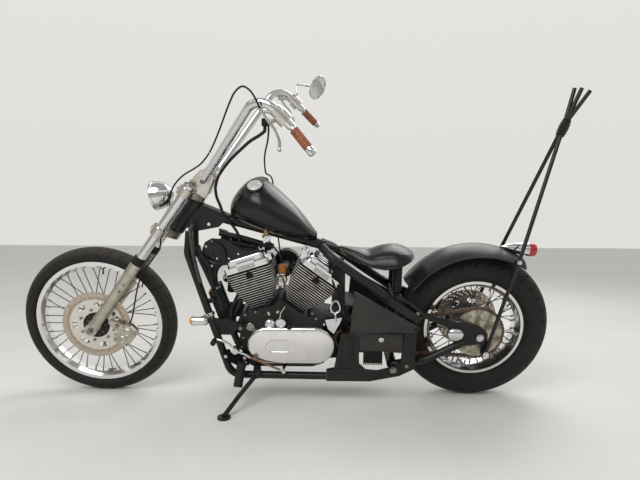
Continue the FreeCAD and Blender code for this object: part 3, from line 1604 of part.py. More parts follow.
lamps = []
for side in (1, -1):
    centre = handed(Vector(1166, 168, 410), side)
    shell = Part.makeCylinder(20, 44, centre - FORWARD * 22, FORWARD)
    shell = shell.fuse(Part.makeSphere(20, centre - FORWARD * 22))
    clip_spot = handed(Vector(1138.6, 95, 410), side)
    clip_run = handed(Vector(-105, 28, -328), side).normalize()
    clip_start = clip_spot - clip_run * 8
    clip = sleeve(clip_start, clip_start + clip_run * 16, 22, size("downtube_radius") + 0.3)
    stalk_end = clip_spot + Vector(16, side * 12, 0)
    stalk = Part.makeCylinder(5, (stalk_end - centre).Length, centre, stalk_end - centre)
    lamps.append(solid(f"indicator_{side}", shell.fuse([stalk, clip])))
keep("indicators", gather("indicators_pair", *lamps))

# Side stand: drawn at rest on the floor, its foot level there

stand_pivot = Vector(size("stand_pivot_x"), size("stand_pivot_y"), size("stand_pivot_z"))
foot_height = 10
foot_world = Vector(size("stand_foot_x"), size("stand_foot_y"), foot_height)
lean_turn = Rotation(FORWARD, -size("lean_angle"))
upright_turn = Rotation(FORWARD, size("lean_angle"))
stand_foot = upright_turn.multVec(foot_world)
stand_leg = pipe(
    [stand_pivot, between(stand_pivot, stand_foot, 0.5) + Vector(6, 0, -4), stand_foot], size("stand_radius"), 300,
)
stand_pad = Part.makeCylinder(26, foot_height, foot_world - UP * foot_height, UP)
stand_pad.rotate(Vector(), FORWARD, size("lean_angle"))
stand_run = (stand_foot - stand_pivot).normalize()
stowed_run = Vector(-0.97, 0.22, -0.08).normalize()
stand_axis = stand_run.cross(stowed_run).normalize()
eye_half = 10
stand_eye = Part.makeCylinder(17, eye_half * 2, stand_pivot - stand_axis * eye_half, stand_axis)
stand = stand_leg.fuse([stand_pad, stand_eye])
stand = stand.cut(Part.makeCylinder(6.3, 60, stand_pivot - stand_axis * 30, stand_axis))
keep("side_stand", solid("side_stand_shape", stand))

# The stand's lug and pin on the left lower rail, drawn square to the pin

lug_gap = 0.4
lug_low = eye_half + lug_gap
lug_high = lug_low + 6
lug_outline = [(-34, -31), (-18.5, -31), (-18.5, lug_low), (17, lug_low), (17, lug_high), (-34, lug_high)]
lug_corners = [Vector(-15, y, z) for y, z in lug_outline]
lug = Part.Face(Part.makePolygon(lug_corners + [lug_corners[0]])).extrude(FORWARD * 30)
pin = Part.makeCylinder(6, lug_high * 2, Vector(0, 0, -lug_high), UP)
pin_head = Part.makeCylinder(9, 4, Vector(0, 0, -lug_high), UP)
lug = lug.fuse([pin, pin_head])
lug.Placement = Placement(stand_pivot, Rotation(FORWARD, Vector(), stand_axis, "ZXY"))
keep("cradle_left", solid("cradle_left_shape", cradle(1).Shape.fuse(lug)))


# Lean the bike onto its stand and set the origin under the middle of its box

doc.recompute()
leaned = Placement(Vector(), lean_turn)
for item in parts.values():
    item.Placement = leaned.multiply(item.Placement)
doc.recompute()
box = FreeCAD.BoundBox()
for item in parts.values():
    box.add(item.Shape.optimalBoundingBox(False, False))
shift = Placement(Vector(-box.Center.x, -box.Center.y, -box.ZMin), Rotation())
for item in parts.values():
    item.Placement = shift.multiply(item.Placement)
doc.recompute()


def report(name, point=None, direction=None):
    """Print a place and a direction of the parked bike, for whoever joins it to something."""
    if point is not None:
        spot = shift.multVec(lean_turn.multVec(point)) / 1000
        print(name, "at", [round(number, 5) for number in spot])
    if direction is not None:
        print(name, "along", [round(number, 6) for number in lean_turn.multVec(direction)])


print("box", [round(number, 2) for number in (box.XLength, box.YLength, box.ZLength, box.ZMin)])
print("shift", [round(number, 3) for number in shift.Base])
report("steering", steer_base, steer_up)
report("front axle", front_axle, LEFT)
report("rear axle", rear_axle, LEFT)
report("stand pivot", stand_pivot, stand_axis)
report("stand foot", stand_foot)
report("bar", bar_centre, LEFT)
print("stand swing", round(math.degrees(stand_run.getAngle(stowed_run)), 2))

faults = [item.Label for item in doc.Objects if "Invalid" in item.State or "Error" in item.State]
faults += [label for label, item in parts.items() if item.Shape.isNull() or not item.Shape.isValid()]
if faults:
    raise SystemExit(f"failed objects: {faults}")

os.makedirs("parts", exist_ok=True)
for label, item in parts.items():
    item.Shape.exportStep(f"parts/{label}.step")
    print(label, len(item.Shape.Solids), round(item.Shape.Volume / 1000), "cm3")
print(len(parts), "sub-parts")
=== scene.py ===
import json
import math

import bmesh
import bpy
from mathutils import Matrix, Vector, noise


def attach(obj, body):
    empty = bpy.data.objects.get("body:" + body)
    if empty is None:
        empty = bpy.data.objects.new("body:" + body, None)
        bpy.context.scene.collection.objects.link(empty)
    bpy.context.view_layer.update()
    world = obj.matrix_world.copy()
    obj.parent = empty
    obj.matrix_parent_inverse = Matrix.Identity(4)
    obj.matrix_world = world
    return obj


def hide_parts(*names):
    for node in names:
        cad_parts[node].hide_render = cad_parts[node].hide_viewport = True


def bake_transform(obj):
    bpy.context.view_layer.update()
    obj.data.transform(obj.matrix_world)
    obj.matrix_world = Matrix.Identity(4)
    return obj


# A chopper parked on its side stand. The CAD frame gives every rigid form its place; this script gives the
# surfaces, the tread, the leather, the wrappings and the small fittings.

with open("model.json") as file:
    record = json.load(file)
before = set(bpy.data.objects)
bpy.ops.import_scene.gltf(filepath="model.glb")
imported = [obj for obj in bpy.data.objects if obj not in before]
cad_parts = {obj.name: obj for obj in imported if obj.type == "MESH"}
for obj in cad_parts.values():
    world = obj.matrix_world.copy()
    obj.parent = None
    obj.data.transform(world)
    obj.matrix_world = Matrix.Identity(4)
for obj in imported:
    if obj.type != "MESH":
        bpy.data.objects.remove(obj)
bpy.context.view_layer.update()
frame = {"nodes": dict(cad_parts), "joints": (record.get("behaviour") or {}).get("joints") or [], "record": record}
joints = {joint["name"]: joint for joint in frame["joints"]}
nodes = frame["nodes"]

# The bike's own frame: u forward, v to the rider's left, w up, in millimetres, upright and with the rear
# tyre's contact at the origin. BIKE takes such a point to its place on the leaned motorcycle, in metres.

TURN = 2 * math.pi
LEAN = math.radians(10.95)
RAKE = math.radians(36.5)
REAR_AXLE = Vector((0, 0, 331.335))
FRONT_AXLE = Vector((1647, 0, 338.779))
FORK_OFFSET = 45
LEG_LEFT = 95
CLAMP_LEVELS = (538, 738)
FRONT_DISC_LEFT = 54.7
REAR_DISC_LEFT = -76.7
CYLINDERS = {"front": ((918, 0, 437), math.radians(17.8)), "rear": ((775, 0, 438), math.radians(-36.5))}
SIDES = (("left", 1), ("right", -1))
rear_axle = Vector(joints["rear_wheel_spin"]["pos_m"])
front_axle = Vector(joints["front_wheel_spin"]["pos_m"])
BIKE = (
    Matrix.Translation(rear_axle)
    @ Matrix.Rotation(-LEAN, 4, "X")
    @ Matrix.Scale(0.001, 4)
    @ Matrix.Translation(-REAR_AXLE)
)
LEFT = Vector((0, 1, 0))
UP = Vector((0, 0, 1))
AHEAD = Vector((1, 0, 0))
STEER_UP = Vector((-math.sin(RAKE), 0, math.cos(RAKE)))
STEER_AHEAD = Vector((math.cos(RAKE), 0, math.sin(RAKE)))
AXLE_WAY = (BIKE.to_3x3() @ LEFT).normalized()


def at(u, v, w):
    """The place in the row frame of a point of the upright bike."""
    return BIKE @ Vector((u, v, w))


def on_fork(ahead, left, height):
    """A point in the fork's own frame: ahead of the steering axis, left, and up along it."""
    return FRONT_AXLE + STEER_AHEAD * (ahead - FORK_OFFSET) + LEFT * left + STEER_UP * height


# Camera

CAMERA_LENS = 27.95
CAMERA_SENSOR = 36
CAMERA_YAW = 0.0148
CAMERA_PITCH = 0.0614
CAMERA_ROLL = 0.0044
CAMERA_FROM_CONTACT = (0.63826, 2.25624, 0.83035)


def add_camera():
    scene = bpy.context.scene
    data = bpy.data.cameras.new("camera")
    data.lens = CAMERA_LENS
    data.sensor_width = CAMERA_SENSOR
    camera = bpy.data.objects.new("camera", data)
    scene.collection.objects.link(camera)
    forward = Vector((
        math.sin(CAMERA_YAW) * math.cos(CAMERA_PITCH),
        -math.cos(CAMERA_YAW) * math.cos(CAMERA_PITCH),
        -math.sin(CAMERA_PITCH),
    ))
    level = Vector((-math.cos(CAMERA_YAW), -math.sin(CAMERA_YAW), 0))
    upward = level.cross(forward)
    right = level * math.cos(CAMERA_ROLL) + upward * math.sin(CAMERA_ROLL)
    up = right.cross(forward)
    turn = Matrix((right, up, -forward)).transposed()
    contact = at(0, 0, 0)
    away, side, height = CAMERA_FROM_CONTACT
    camera.matrix_world = Matrix.Translation((contact.x + away, contact.y + side, height)) @ turn.to_4x4()
    scene.camera = camera


add_camera()


# Shader nodes

def add(tree, kind, **values):
    """A shader node with its inputs set by name."""
    made = tree.nodes.new(kind)
    for name, value in values.items():
        made.inputs[name.replace("_", " ")].default_value = value
    return made


def own_place(tree):
    """The coordinates of the piece itself, in metres of the row frame."""
    return tree.nodes.new("ShaderNodeTexCoord").outputs["Object"]


def ramp(tree, source, stops):
    """Colours at given places of a source that runs from 0 to 1."""
    made = tree.nodes.new("ShaderNodeValToRGB")
    spots = made.color_ramp.elements
    while len(spots) < len(stops):
        spots.new(0.5)
    for spot, (place, colour) in zip(spots, stops):
        spot.position = place
        spot.color = (*colour, 1)
    tree.links.new(source, made.inputs["Fac"])
    return made.outputs["Color"]


def spread(tree, source, low, high, out_low=0.0, out_high=1.0):
    """A source from low to high brought to the range from out_low to out_high, and held at its ends."""
    made = add(tree, "ShaderNodeMapRange", From_Min=low, From_Max=high, To_Min=out_low, To_Max=out_high)
    tree.links.new(source, made.inputs["Value"])
    return made.outputs["Result"]


def combine(tree, kind, first, second=0.0):
    """A math node over two values, each a number or a socket."""
    made = tree.nodes.new("ShaderNodeMath")
    made.operation = kind
    made.use_clamp = kind == "MULTIPLY"
    for slot, value in enumerate((first, second)):
        if isinstance(value, (int, float)):
            made.inputs[slot].default_value = value
        else:
            tree.links.new(value, made.inputs[slot])
    return made.outputs["Value"]


def absolute(tree, source):
    return combine(tree, "ABSOLUTE", source)


def both(tree, first, second):
    """The share where two shares overlap."""
    return combine(tree, "MULTIPLY", first, second)


def between(tree, source, low, low_full, high_full, high):
    """A share that is 1 from low_full to high_full, and 0 below low and above high."""
    return both(tree, spread(tree, source, low, low_full), spread(tree, source, high, high_full))


def blend(tree, share, first, second):
    """Two colours mixed by a share."""
    made = tree.nodes.new("ShaderNodeMix")
    made.data_type = "RGBA"
    tree.links.new(share, made.inputs["Factor"])
    for socket, value in ((made.inputs[6], first), (made.inputs[7], second)):
        if isinstance(value, tuple):
            socket.default_value = (*value, 1)
        else:
            tree.links.new(value, socket)
    return made.outputs[2]


def grain(tree, scale, detail, rough=0.55):
    """Noise over the piece's own coordinates."""
    made = add(tree, "ShaderNodeTexNoise", Scale=scale, Detail=detail, Roughness=rough)
    tree.links.new(own_place(tree), made.inputs["Vector"])
    return made.outputs["Fac"]


def vector_math(tree, kind, source, other=None):
    """A vector math node over a socket and, where it takes two, a plain vector."""
    made = tree.nodes.new("ShaderNodeVectorMath")
    made.operation = kind
    tree.links.new(source, made.inputs[0])
    if other is not None:
        made.inputs[1].default_value = other
    return made.outputs["Value" if kind in ("LENGTH", "DOT_PRODUCT") else "Vector"]


def from_line(tree, centre, axis):
    """The distance in metres from a line through a point of the row frame."""
    shift = vector_math(tree, "SUBTRACT", own_place(tree), centre)
    return vector_math(tree, "LENGTH", vector_math(tree, "CROSS_PRODUCT", shift, axis))


def along(tree, centre, axis):
    """The distance in metres along an axis from a point of the row frame."""
    return vector_math(tree, "DOT_PRODUCT", vector_math(tree, "SUBTRACT", own_place(tree), centre), axis)


def add_bump(tree, height, strength, distance=0.001):
    """Relief over the surface, on top of any relief that it has."""
    normal = tree.nodes["Principled BSDF"].inputs["Normal"]
    relief = add(tree, "ShaderNodeBump", Strength=strength, Distance=distance)
    tree.links.new(height, relief.inputs["Height"])
    if normal.is_linked:
        tree.links.new(normal.links[0].from_socket, relief.inputs["Normal"])
    tree.links.new(relief.outputs["Normal"], normal)


# Finishes, kept by name. A piece wears the finish of its slot unless another one is named.

finishes = {}


def new_finish(name, **values):
    """A material whose plain values are set on the shader by name."""
    made = bpy.data.materials.new(name)
    made.use_nodes = True
    shader = made.node_tree.nodes["Principled BSDF"]
    for socket, value in values.items():
        shader.inputs[socket.replace("_", " ")].default_value = value
    finishes[name] = made
    return made, made.node_tree, shader


def finish(name, colour, other, metallic, rough, scale, bump, wear=None, coat=0.0, mid=(0.35, 0.7),
           shine=0.5):
    """Two colours blended by noise, with uneven gloss, fine bump and, where asked, worn specks."""
    made, tree, shader = new_finish(name, Metallic=metallic, Coat_Weight=coat, Specular_IOR_Level=shine)
    paint = ramp(tree, grain(tree, scale, 5.0, 0.6), [(mid[0], colour), (mid[1], other)])
    if wear:
        specks = spread(tree, grain(tree, 160, 3.0), 0.66, 0.72, 0, 0.8)
        patches = spread(tree, grain(tree, 7, 2.0), 0.5, 0.66)
        paint = blend(tree, both(tree, specks, patches), paint, wear)
    tree.links.new(paint, shader.inputs["Base Color"])
    gloss = spread(tree, grain(tree, scale * 2.3, 4.0, 0.6), 0.3, 0.7, rough[0], rough[1])
    tree.links.new(gloss, shader.inputs["Roughness"])
    add_bump(tree, grain(tree, bump[0], 2.0, 0.5), bump[1])
    return made


def repaint(made, share, colour, rough=None):
    """Lays another colour over a finish where the share is 1."""
    tree = made.node_tree
    shader = tree.nodes["Principled BSDF"]
    under = shader.inputs["Base Color"].links[0].from_socket
    tree.links.new(blend(tree, share, under, colour), shader.inputs["Base Color"])
    if rough is not None:
        before = shader.inputs["Roughness"].links[0].from_socket
        mixed = tree.nodes.new("ShaderNodeMix")
        tree.links.new(share, mixed.inputs["Factor"])
        tree.links.new(before, mixed.inputs[2])
        mixed.inputs[3].default_value = rough
        tree.links.new(mixed.outputs[0], shader.inputs["Roughness"])
    return made


def chrome(name, colour=(0.74, 0.74, 0.75), rough=(0.05, 0.12)):
    return finish(name, colour, tuple(part * 0.93 for part in colour), 1.0, rough, 25, (300, 0.015))


def glass(name, colour, rough=0.03):
    """Clear or tinted glass with fine ribs."""
    made, tree, shader = new_finish(
        name, Base_Color=(*colour, 1), Transmission_Weight=1, IOR=1.2, Roughness=rough,
    )
    wave = add(tree, "ShaderNodeTexWave", Scale=60.0, Distortion=0.0)
    tree.links.new(own_place(tree), wave.inputs["Vector"])
    add_bump(tree, wave.outputs["Fac"], 0.25)
    return made


finish("frame_paint", (0.0075, 0.0072, 0.007), (0.014, 0.0132, 0.0125), 0.0, (0.28, 0.44), 9, (700, 0.1),
       (0.07, 0.065, 0.06), shine=0.33)
finish("tank_paint", (0.0045, 0.0045, 0.0045), (0.007, 0.0068, 0.0066), 0.0, (0.22, 0.28), 6, (900, 0.03),
       shine=0.45)
finish("fender_paint", (0.009, 0.0088, 0.0086), (0.016, 0.0152, 0.0148), 0.0, (0.26, 0.38), 11, (800, 0.06),
       (0.12, 0.12, 0.11), shine=0.4)
chrome("chrome")
finish("polished_alloy", (0.7, 0.67, 0.6), (0.56, 0.53, 0.46), 1.0, (0.2, 0.34), 30, (500, 0.05))
finish("worn_alloy", (0.56, 0.53, 0.45), (0.4, 0.37, 0.3), 0.9, (0.3, 0.46), 24, (420, 0.1))
finish("engine_black", (0.007, 0.0068, 0.0066), (0.014, 0.0132, 0.0125), 0.0, (0.34, 0.52), 17, (520, 0.22),
       (0.1, 0.095, 0.09), shine=0.35)
finish("brake_steel", (0.46, 0.37, 0.28), (0.36, 0.27, 0.19), 0.85, (0.3, 0.45), 40, (700, 0.1))
finish("axle_steel", (0.42, 0.4, 0.37), (0.26, 0.245, 0.225), 1.0, (0.22, 0.4), 40, (600, 0.08))
finish("chain_steel", (0.07, 0.04, 0.024), (0.2, 0.15, 0.11), 0.7, (0.4, 0.6), 90, (700, 0.25))
finish("tyre", (0.015, 0.0135, 0.012), (0.024, 0.0215, 0.019), 0.0, (0.6, 0.75), 10, (900, 0.18), shine=0.25)
finish("rubber", (0.008, 0.008, 0.008), (0.015, 0.0145, 0.014), 0.0, (0.42, 0.6), 20, (700, 0.12), shine=0.3)
finish("seat_leather", (0.011, 0.01, 0.01), (0.007, 0.0065, 0.006), 0.0, (0.27, 0.38), 26, (260, 0.2),
       shine=0.45)
finish("grip_wrap", (0.34, 0.105, 0.045), (0.2, 0.055, 0.025), 0.0, (0.32, 0.5), 70, (420, 0.3))
finish("red_lens", (0.5, 0.012, 0.014), (0.36, 0.008, 0.01), 0.0, (0.08, 0.14), 60, (160, 0.1), coat=0.5)
chrome("indicator_chrome")
glass("clear_glass", (0.93, 0.95, 0.95))


def wheel_finish(name, centre, hub_reach, rim_reach, step=None):
    """Bright rim, darker spokes and a dull hub, told apart by their distance from the axle; where a step is given,
    a painted dark reflection band on the chrome at the rim's step.
    """
    made = chrome(name, (0.8, 0.8, 0.8), (0.06, 0.14))
    tree = made.node_tree
    reach = from_line(tree, centre, AXLE_WAY)
    inside = spread(tree, reach, rim_reach, rim_reach - 0.003)
    repaint(made, inside, (0.07, 0.066, 0.062), 0.3)
    # Painted reflection: a dark band on the chrome rim at its step.
    if step:
        ring = between(tree, reach, step - 0.003, step - 0.002, step + 0.002, step + 0.003)
        repaint(made, ring, (0.07, 0.07, 0.068), 0.3)
    hub = spread(tree, reach, hub_reach, hub_reach - 0.002)
    return repaint(made, hub, (0.13, 0.12, 0.11), 0.45)


def disc_finish(name, centre, dish, ring_inner):
    """A tan drilled ring with a darker wear band, on a pale carrier with a dark middle."""
    made = finish(name, (0.55, 0.475, 0.395), (0.44, 0.36, 0.28), 0.8, (0.28, 0.42), 70, (800, 0.08))
    tree = made.node_tree
    reach = from_line(tree, centre, AXLE_WAY)
    wear_band = between(tree, reach, *(ring_inner + step for step in (0.006, 0.008, 0.011, 0.013)))
    repaint(made, wear_band, (0.33, 0.25, 0.18))
    carrier = spread(tree, reach, ring_inner + 0.001, ring_inner)
    repaint(made, carrier, (0.72, 0.7, 0.64), 0.3)
    middle = spread(tree, reach, dish + 0.001, dish - 0.001)
    return repaint(made, middle, (0.1, 0.085, 0.07), 0.5)


FIRST_FIN = 0.004
FIN_PITCH = 0.0106
FIN_THICKNESS = 0.0034
HEAD_FOOT = 0.165
PLUG_SIDE = 0.0846


def fin_finish(name, base, tilt):
    """Black fins, each with a thin machined line along the middle of its outer edge; the lines are painted dimmer
    towards the cylinder's foot as painted shade.
    """
    made = finish(name, (0.004, 0.004, 0.004), (0.008, 0.0076, 0.0072), 0.0, (0.4, 0.54), 20, (520, 0.16),
                  shine=0.2)
    tree = made.node_tree
    axis = (BIKE.to_3x3() @ Vector((math.sin(tilt), 0, math.cos(tilt)))).normalized()
    centre = at(*base)
    level = along(tree, centre, axis)
    normal = tree.nodes.new("ShaderNodeNewGeometry").outputs["True Normal"]
    into = combine(tree, "MODULO", combine(tree, "SUBTRACT", level, FIRST_FIN), FIN_PITCH)
    off_middle = absolute(tree, combine(tree, "SUBTRACT", into, FIN_THICKNESS / 2))
    off_bore = spread(tree, from_line(tree, centre, axis), 0.05, 0.054)
    upright = spread(tree, absolute(tree, vector_math(tree, "DOT_PRODUCT", normal, axis)), 0.35, 0.25)
    under_head = spread(tree, level, HEAD_FOOT + 0.001, HEAD_FOOT)
    off_plug = spread(tree, absolute(tree, along(tree, centre, AXLE_WAY)), PLUG_SIDE, PLUG_SIDE - 0.0004)
    line = spread(tree, off_middle, 0.0012, 0.0009)
    # Painted shade: the machined lines fade towards the cylinder's foot.
    painted_shade_near_foot = spread(tree, level, 0.0, 0.1, 0.35, 1)
    patchy = spread(tree, grain(tree, 30, 3.0), 0.3, 0.5, 0.55, 1)
    share = off_bore
    for mask in (upright, under_head, off_plug, line, painted_shade_near_foot, patchy):
        share = both(tree, share, mask)
    return repaint(made, share, (0.95, 0.93, 0.88), 0.3)


RADIATOR_TUBE_PITCH = 0.004


def radiator_finish():
    """Black core with fine upright tubes, drawn by bump."""
    made = finish("radiator_black", (0.008, 0.008, 0.008), (0.014, 0.0135, 0.013), 0.0, (0.36, 0.5), 20,
                  (520, 0.1), shine=0.35)
    tree = made.node_tree
    across = combine(tree, "ADD", along(tree, at(0, 0, 0), AXLE_WAY), 1.0)
    into = combine(tree, "MODULO", across, RADIATOR_TUBE_PITCH)
    stripes = absolute(tree, combine(tree, "SUBTRACT", into, RADIATOR_TUBE_PITCH / 2))
    add_bump(tree, stripes, 0.6, 1.0)
    return made


def control_finish():
    """Chrome levers on a black plate, and the copper shift rod."""
    made = chrome("control_chrome")
    tree = made.node_tree
    aside = absolute(tree, along(tree, at(0, 0, 0), AXLE_WAY))
    repaint(made, spread(tree, aside, 0.1435, 0.1425), (0.012, 0.0115, 0.011), 0.42)
    parts = tree.nodes.new("ShaderNodeSeparateXYZ")
    tree.links.new(own_place(tree), parts.inputs["Vector"])
    rod_run = between(tree, parts.outputs["X"], *(at(u, 0, 0).x for u in (834, 838, 958, 963)))
    rod = both(tree, rod_run, spread(tree, aside, 0.15, 0.152))
    return repaint(made, rod, (0.27, 0.16, 0.09), 0.4)


special = {
    "front_wheel": wheel_finish("front_wheel_steel", front_axle, 0.045, 0.2485),
    "rear_wheel": wheel_finish("rear_wheel_steel", rear_axle, 0.07, 0.1855, 0.2005),
    "front_disc": disc_finish("front_disc_steel", front_axle, 0.057, 0.116),
    "rear_disc": disc_finish("rear_disc_steel", rear_axle, 0.049, 0.101),
    "front_cylinder": fin_finish("front_fin_black", *CYLINDERS["front"]),
    "rear_cylinder": fin_finish("rear_fin_black", *CYLINDERS["rear"]),
    "rear_sprocket": finish("sprocket_steel", (0.52, 0.49, 0.4), (0.17, 0.15, 0.1), 0.85, (0.22, 0.42), 26,
                            (500, 0.1), mid=(0.42, 0.6)),
    "bar_controls": finish("control_alloy", (0.66, 0.645, 0.6), (0.54, 0.52, 0.475), 1.0, (0.24, 0.32), 10,
                           (400, 0.02)),
    "side_covers": finish("cover_black", (0.014, 0.012, 0.0105), (0.034, 0.0295, 0.026), 0.0, (0.34, 0.46), 5,
                          (700, 0.1), (0.11, 0.1, 0.09)),
    "tool_box": finish("box_black", (0.016, 0.0135, 0.012), (0.032, 0.0275, 0.024), 0.0, (0.36, 0.48), 7,
                       (700, 0.12), (0.11, 0.1, 0.09)),
    "rear_frame_left": finish("plate_black", (0.0095, 0.0082, 0.0072), (0.019, 0.0163, 0.0142), 0.0,
                              (0.34, 0.5), 9, (640, 0.14), (0.08, 0.072, 0.064), shine=0.35),
    "dust_boots": finish("boot_rubber", (0.006, 0.006, 0.006), (0.01, 0.01, 0.0095), 0.0, (0.4, 0.55), 30,
                         (600, 0.1), shine=0.3),
    "radiator": radiator_finish(),
    "foot_controls": control_finish(),
}
slot_of = {item["node"]: item["material_slot"] for item in frame["record"]["subparts"]}
for name, cad_node in nodes.items():
    cad_node.data.materials.clear()
    cad_node.data.materials.append(special.get(name, finishes[slot_of[name]]))


# Making pieces. Shapes are drawn in the bike's own millimetres.

def piece(name, shape, body, slot, look=None, sharp=35):
    mesh = bpy.data.meshes.new(name)
    bmesh.ops.recalc_face_normals(shape, faces=shape.faces)
    shape.to_mesh(mesh)
    shape.free()
    mesh.transform(BIKE)
    mesh.materials.append(finishes[look or slot])
    mesh.shade_smooth()
    mesh.set_sharp_from_angle(angle=math.radians(sharp))
    made = bpy.data.objects.new(name, mesh)
    bpy.context.scene.collection.objects.link(made)
    if body:
        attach(made, body)
    return made


def fitting(name, body, slot, parts, look=None, sharp=35):
    """A piece of simple shapes, each given as the function that draws it and what that takes."""
    shape = bmesh.new()
    for draw, *values in parts:
        draw(shape, *values)
    return piece(name, shape, body, slot, look, sharp)


def turned(name, body, slot, profile, place, sides, look=None):
    """A piece that is one turned shape."""
    return fitting(name, body, slot, [(lathe, profile, place, sides)], look)


def frame_along(spot, axis):
    """A matrix whose Z runs along the axis from the spot."""
    return Matrix.Translation(spot) @ Vector(axis).normalized().to_track_quat("Z", "Y").to_matrix().to_4x4()


def tilted(spot, angle=0.0):
    """A place at the spot, leant forward by the angle."""
    return Matrix.Translation(spot) @ Matrix.Rotation(angle, 4, "Y")


def polar(radius, angle, height=0.0):
    """A point about a place's Z, on a circle at a height."""
    return Vector((radius * math.cos(angle), radius * math.sin(angle), height))


def sleeve(half, inner, outer):
    """The profile of a plain ring."""
    return [(-half, inner), (-half, outer), (half, outer), (half, inner)]


def band(shape, below, above):
    """The faces between two closed rows of points."""
    faces = []
    for step in range(len(below)):
        following = (step + 1) % len(below)
        faces.append(shape.faces.new((below[step], below[following], above[following], above[step])))
    return faces


def closed_skin(shape, rows):
    """The faces between closed rows, and one over each end."""
    for below, above in zip(rows, rows[1:]):
        band(shape, below, above)
    shape.faces.new(rows[0][::-1])
    shape.faces.new(rows[-1])


def lathe(shape, profile, place, sides):
    """Turns (height, radius) points about the place's Z; a radius of 0 closes the end."""
    rings = []
    for height, radius in profile:
        steps = range(sides if radius > 0 else 1)
        rings.append([shape.verts.new(place @ polar(radius, TURN * step / sides, height)) for step in steps])
    for below, above in zip(rings, rings[1:]):
        if len(below) == len(above) == sides:
            band(shape, below, above)
        elif len(below) == sides:
            for step in range(sides):
                shape.faces.new((below[step], below[(step + 1) % sides], above[0]))
        elif len(above) == sides:
            for step in range(sides):
                shape.faces.new((below[0], above[step], above[(step + 1) % sides]))


def bolt(shape, spot, axis, radius, height=None, kind="hex"):
    """A bolt head: six-sided with a chamfer and washer, or a round cap with its socket."""
    height = height or radius * 0.9
    place = frame_along(spot, axis)
    if kind == "hex":
        lathe(shape, [(-1, 0), (-1, radius * 1.35), (1.2, radius * 1.35), (1.2, 0)], place, 20)
        lathe(shape, [
            (0.5, 0), (0.5, radius), (height * 0.85, radius), (height, radius * 0.8), (height, 0),
        ], place, 6)
        return
    bore = radius * 0.5
    lathe(shape, [
        (-1, 0), (-1, radius), (height * 0.75, radius), (height, radius * 0.86), (height, bore),
        (height * 0.4, bore), (height * 0.4, 0),
    ], place, 20)


def smooth_between(before, start, end, after, t):
    """A point at t on the smooth line from start to end."""
    return 0.5 * (
        2 * start + (end - before) * t + (2 * before - 5 * start + 4 * end - after) * t * t
        + (3 * start - before - 3 * end + after) * t ** 3
    )


def smooth_path(points, steps):
    """Points along a smooth line through the given ones."""
    found = []
    for index in range(len(points) - 1):
        before = points[max(index - 1, 0)]
        after = points[min(index + 2, len(points) - 1)]
        for step in range(steps):
            found.append(smooth_between(before, points[index], points[index + 1], after, step / steps))
    found.append(points[-1])
    return found


def tube(shape, points, radius, sides, steps=8):
    """A round tube on a smooth line; the radius may be a function of the share of its length."""
    line = smooth_path([Vector(point) for point in points], steps)
    count = len(line)
    side = None
    rings = []
    for index, spot in enumerate(line):
        run = (line[min(index + 1, count - 1)] - line[max(index - 1, 0)]).normalized()
        if side is None:
            side = run.orthogonal()
        side = (side - run * side.dot(run)).normalized()
        other = run.cross(side)
        reach = radius(index / (count - 1)) if callable(radius) else radius
        rings.append([
            shape.verts.new(spot + (side * math.cos(turn) + other * math.sin(turn)) * reach)
            for turn in (TURN * step / sides for step in range(sides))
        ])
    closed_skin(shape, rings)


def soften(shape, edges, width):
    """Rounds off edges, some of which may be given twice."""
    once = list(dict.fromkeys(edges))
    bmesh.ops.bevel(shape, geom=once, offset=width, segments=2, profile=0.7, affect="EDGES")


def slab(shape, place, size, bevel):
    """A block with softened edges, centred at the place."""
    made = bmesh.ops.create_cube(shape, size=1, matrix=place @ Matrix.Diagonal((*size, 1)))
    soften(shape, [edge for vert in made["verts"] for edge in vert.link_edges], bevel)


def flat_piece(shape, outline, across_low, across_high, bevel, place=None):
    """An outline of (ahead, up) points drawn out across the bike, or across another frame."""
    place = place or Matrix()
    low, high = (
        [shape.verts.new(place @ Vector((ahead, across, up))) for ahead, up in outline]
        for across in (across_low, across_high)
    )
    ends = [shape.faces.new(low[::-1]), shape.faces.new(high)]
    band(shape, low, high)
    soften(shape, [edge for face in ends for edge in face.edges], bevel)


# Wheels: tyres with cut tread, nipples, valves and the drilled discs

def wheel_place(centre, left=0):
    """A wheel's own frame, whose Z is the axle towards the rider's left and whose X points ahead."""
    return Matrix.Translation((centre[0], left, centre[2])) @ Matrix((AHEAD, -UP, LEFT)).transposed().to_4x4()


# One pitch of the tread has points at these shares of its length. Three of them make a groove's floor.
PITCH_PARTS = (0.0, 0.03, 0.08, 0.13, 0.16, 0.24, 0.37, 0.5, 0.53, 0.58, 0.63, 0.66, 0.74, 0.87)
LEFT_GROOVE = (0.03, 0.08, 0.13)
RIGHT_GROOVE = (0.53, 0.58, 0.63)
GROOVE_SLANT = 0.012
GROOVE_WAVE = 0.42
WALL_RINGS = (2, 5, 12, 14)
WALL_RING_DEPTH = 0.7
TYRE_INSET = 0.15
# Painted shade: a darker rubber for the floors of the deep grooves.
finish("painted_groove_shade", (0.003, 0.003, 0.003), (0.005, 0.005, 0.005), 0.0, (0.8, 0.9), 30, (900, 0.1),
       shine=0.05)


def arc_points(first, middle, last, count):
    """Points on the circle through three (across, radius) points, from the first to the last."""
    (ax, ay), (bx, by), (cx, cy) = first, middle, last
    a, b, c = (x ** 2 + y ** 2 for x, y in (first, middle, last))
    d = 2 * (ax * (by - cy) + bx * (cy - ay) + cx * (ay - by))
    ux = (a * (by - cy) + b * (cy - ay) + c * (ay - by)) / d
    uy = (a * (cx - bx) + b * (ax - cx) + c * (bx - ax)) / d
    reach = math.hypot(ax - ux, ay - uy)
    start, through, end = (math.atan2(y - uy, x - ux) for x, y in (first, middle, last))
    turn = (end - start) % TURN
    if (through - start) % TURN > turn:
        turn -= TURN
    angles = [start + turn * step / count for step in range(count + 1)]
    return [(ux + reach * math.cos(angle), uy + reach * math.sin(angle)) for angle in angles]


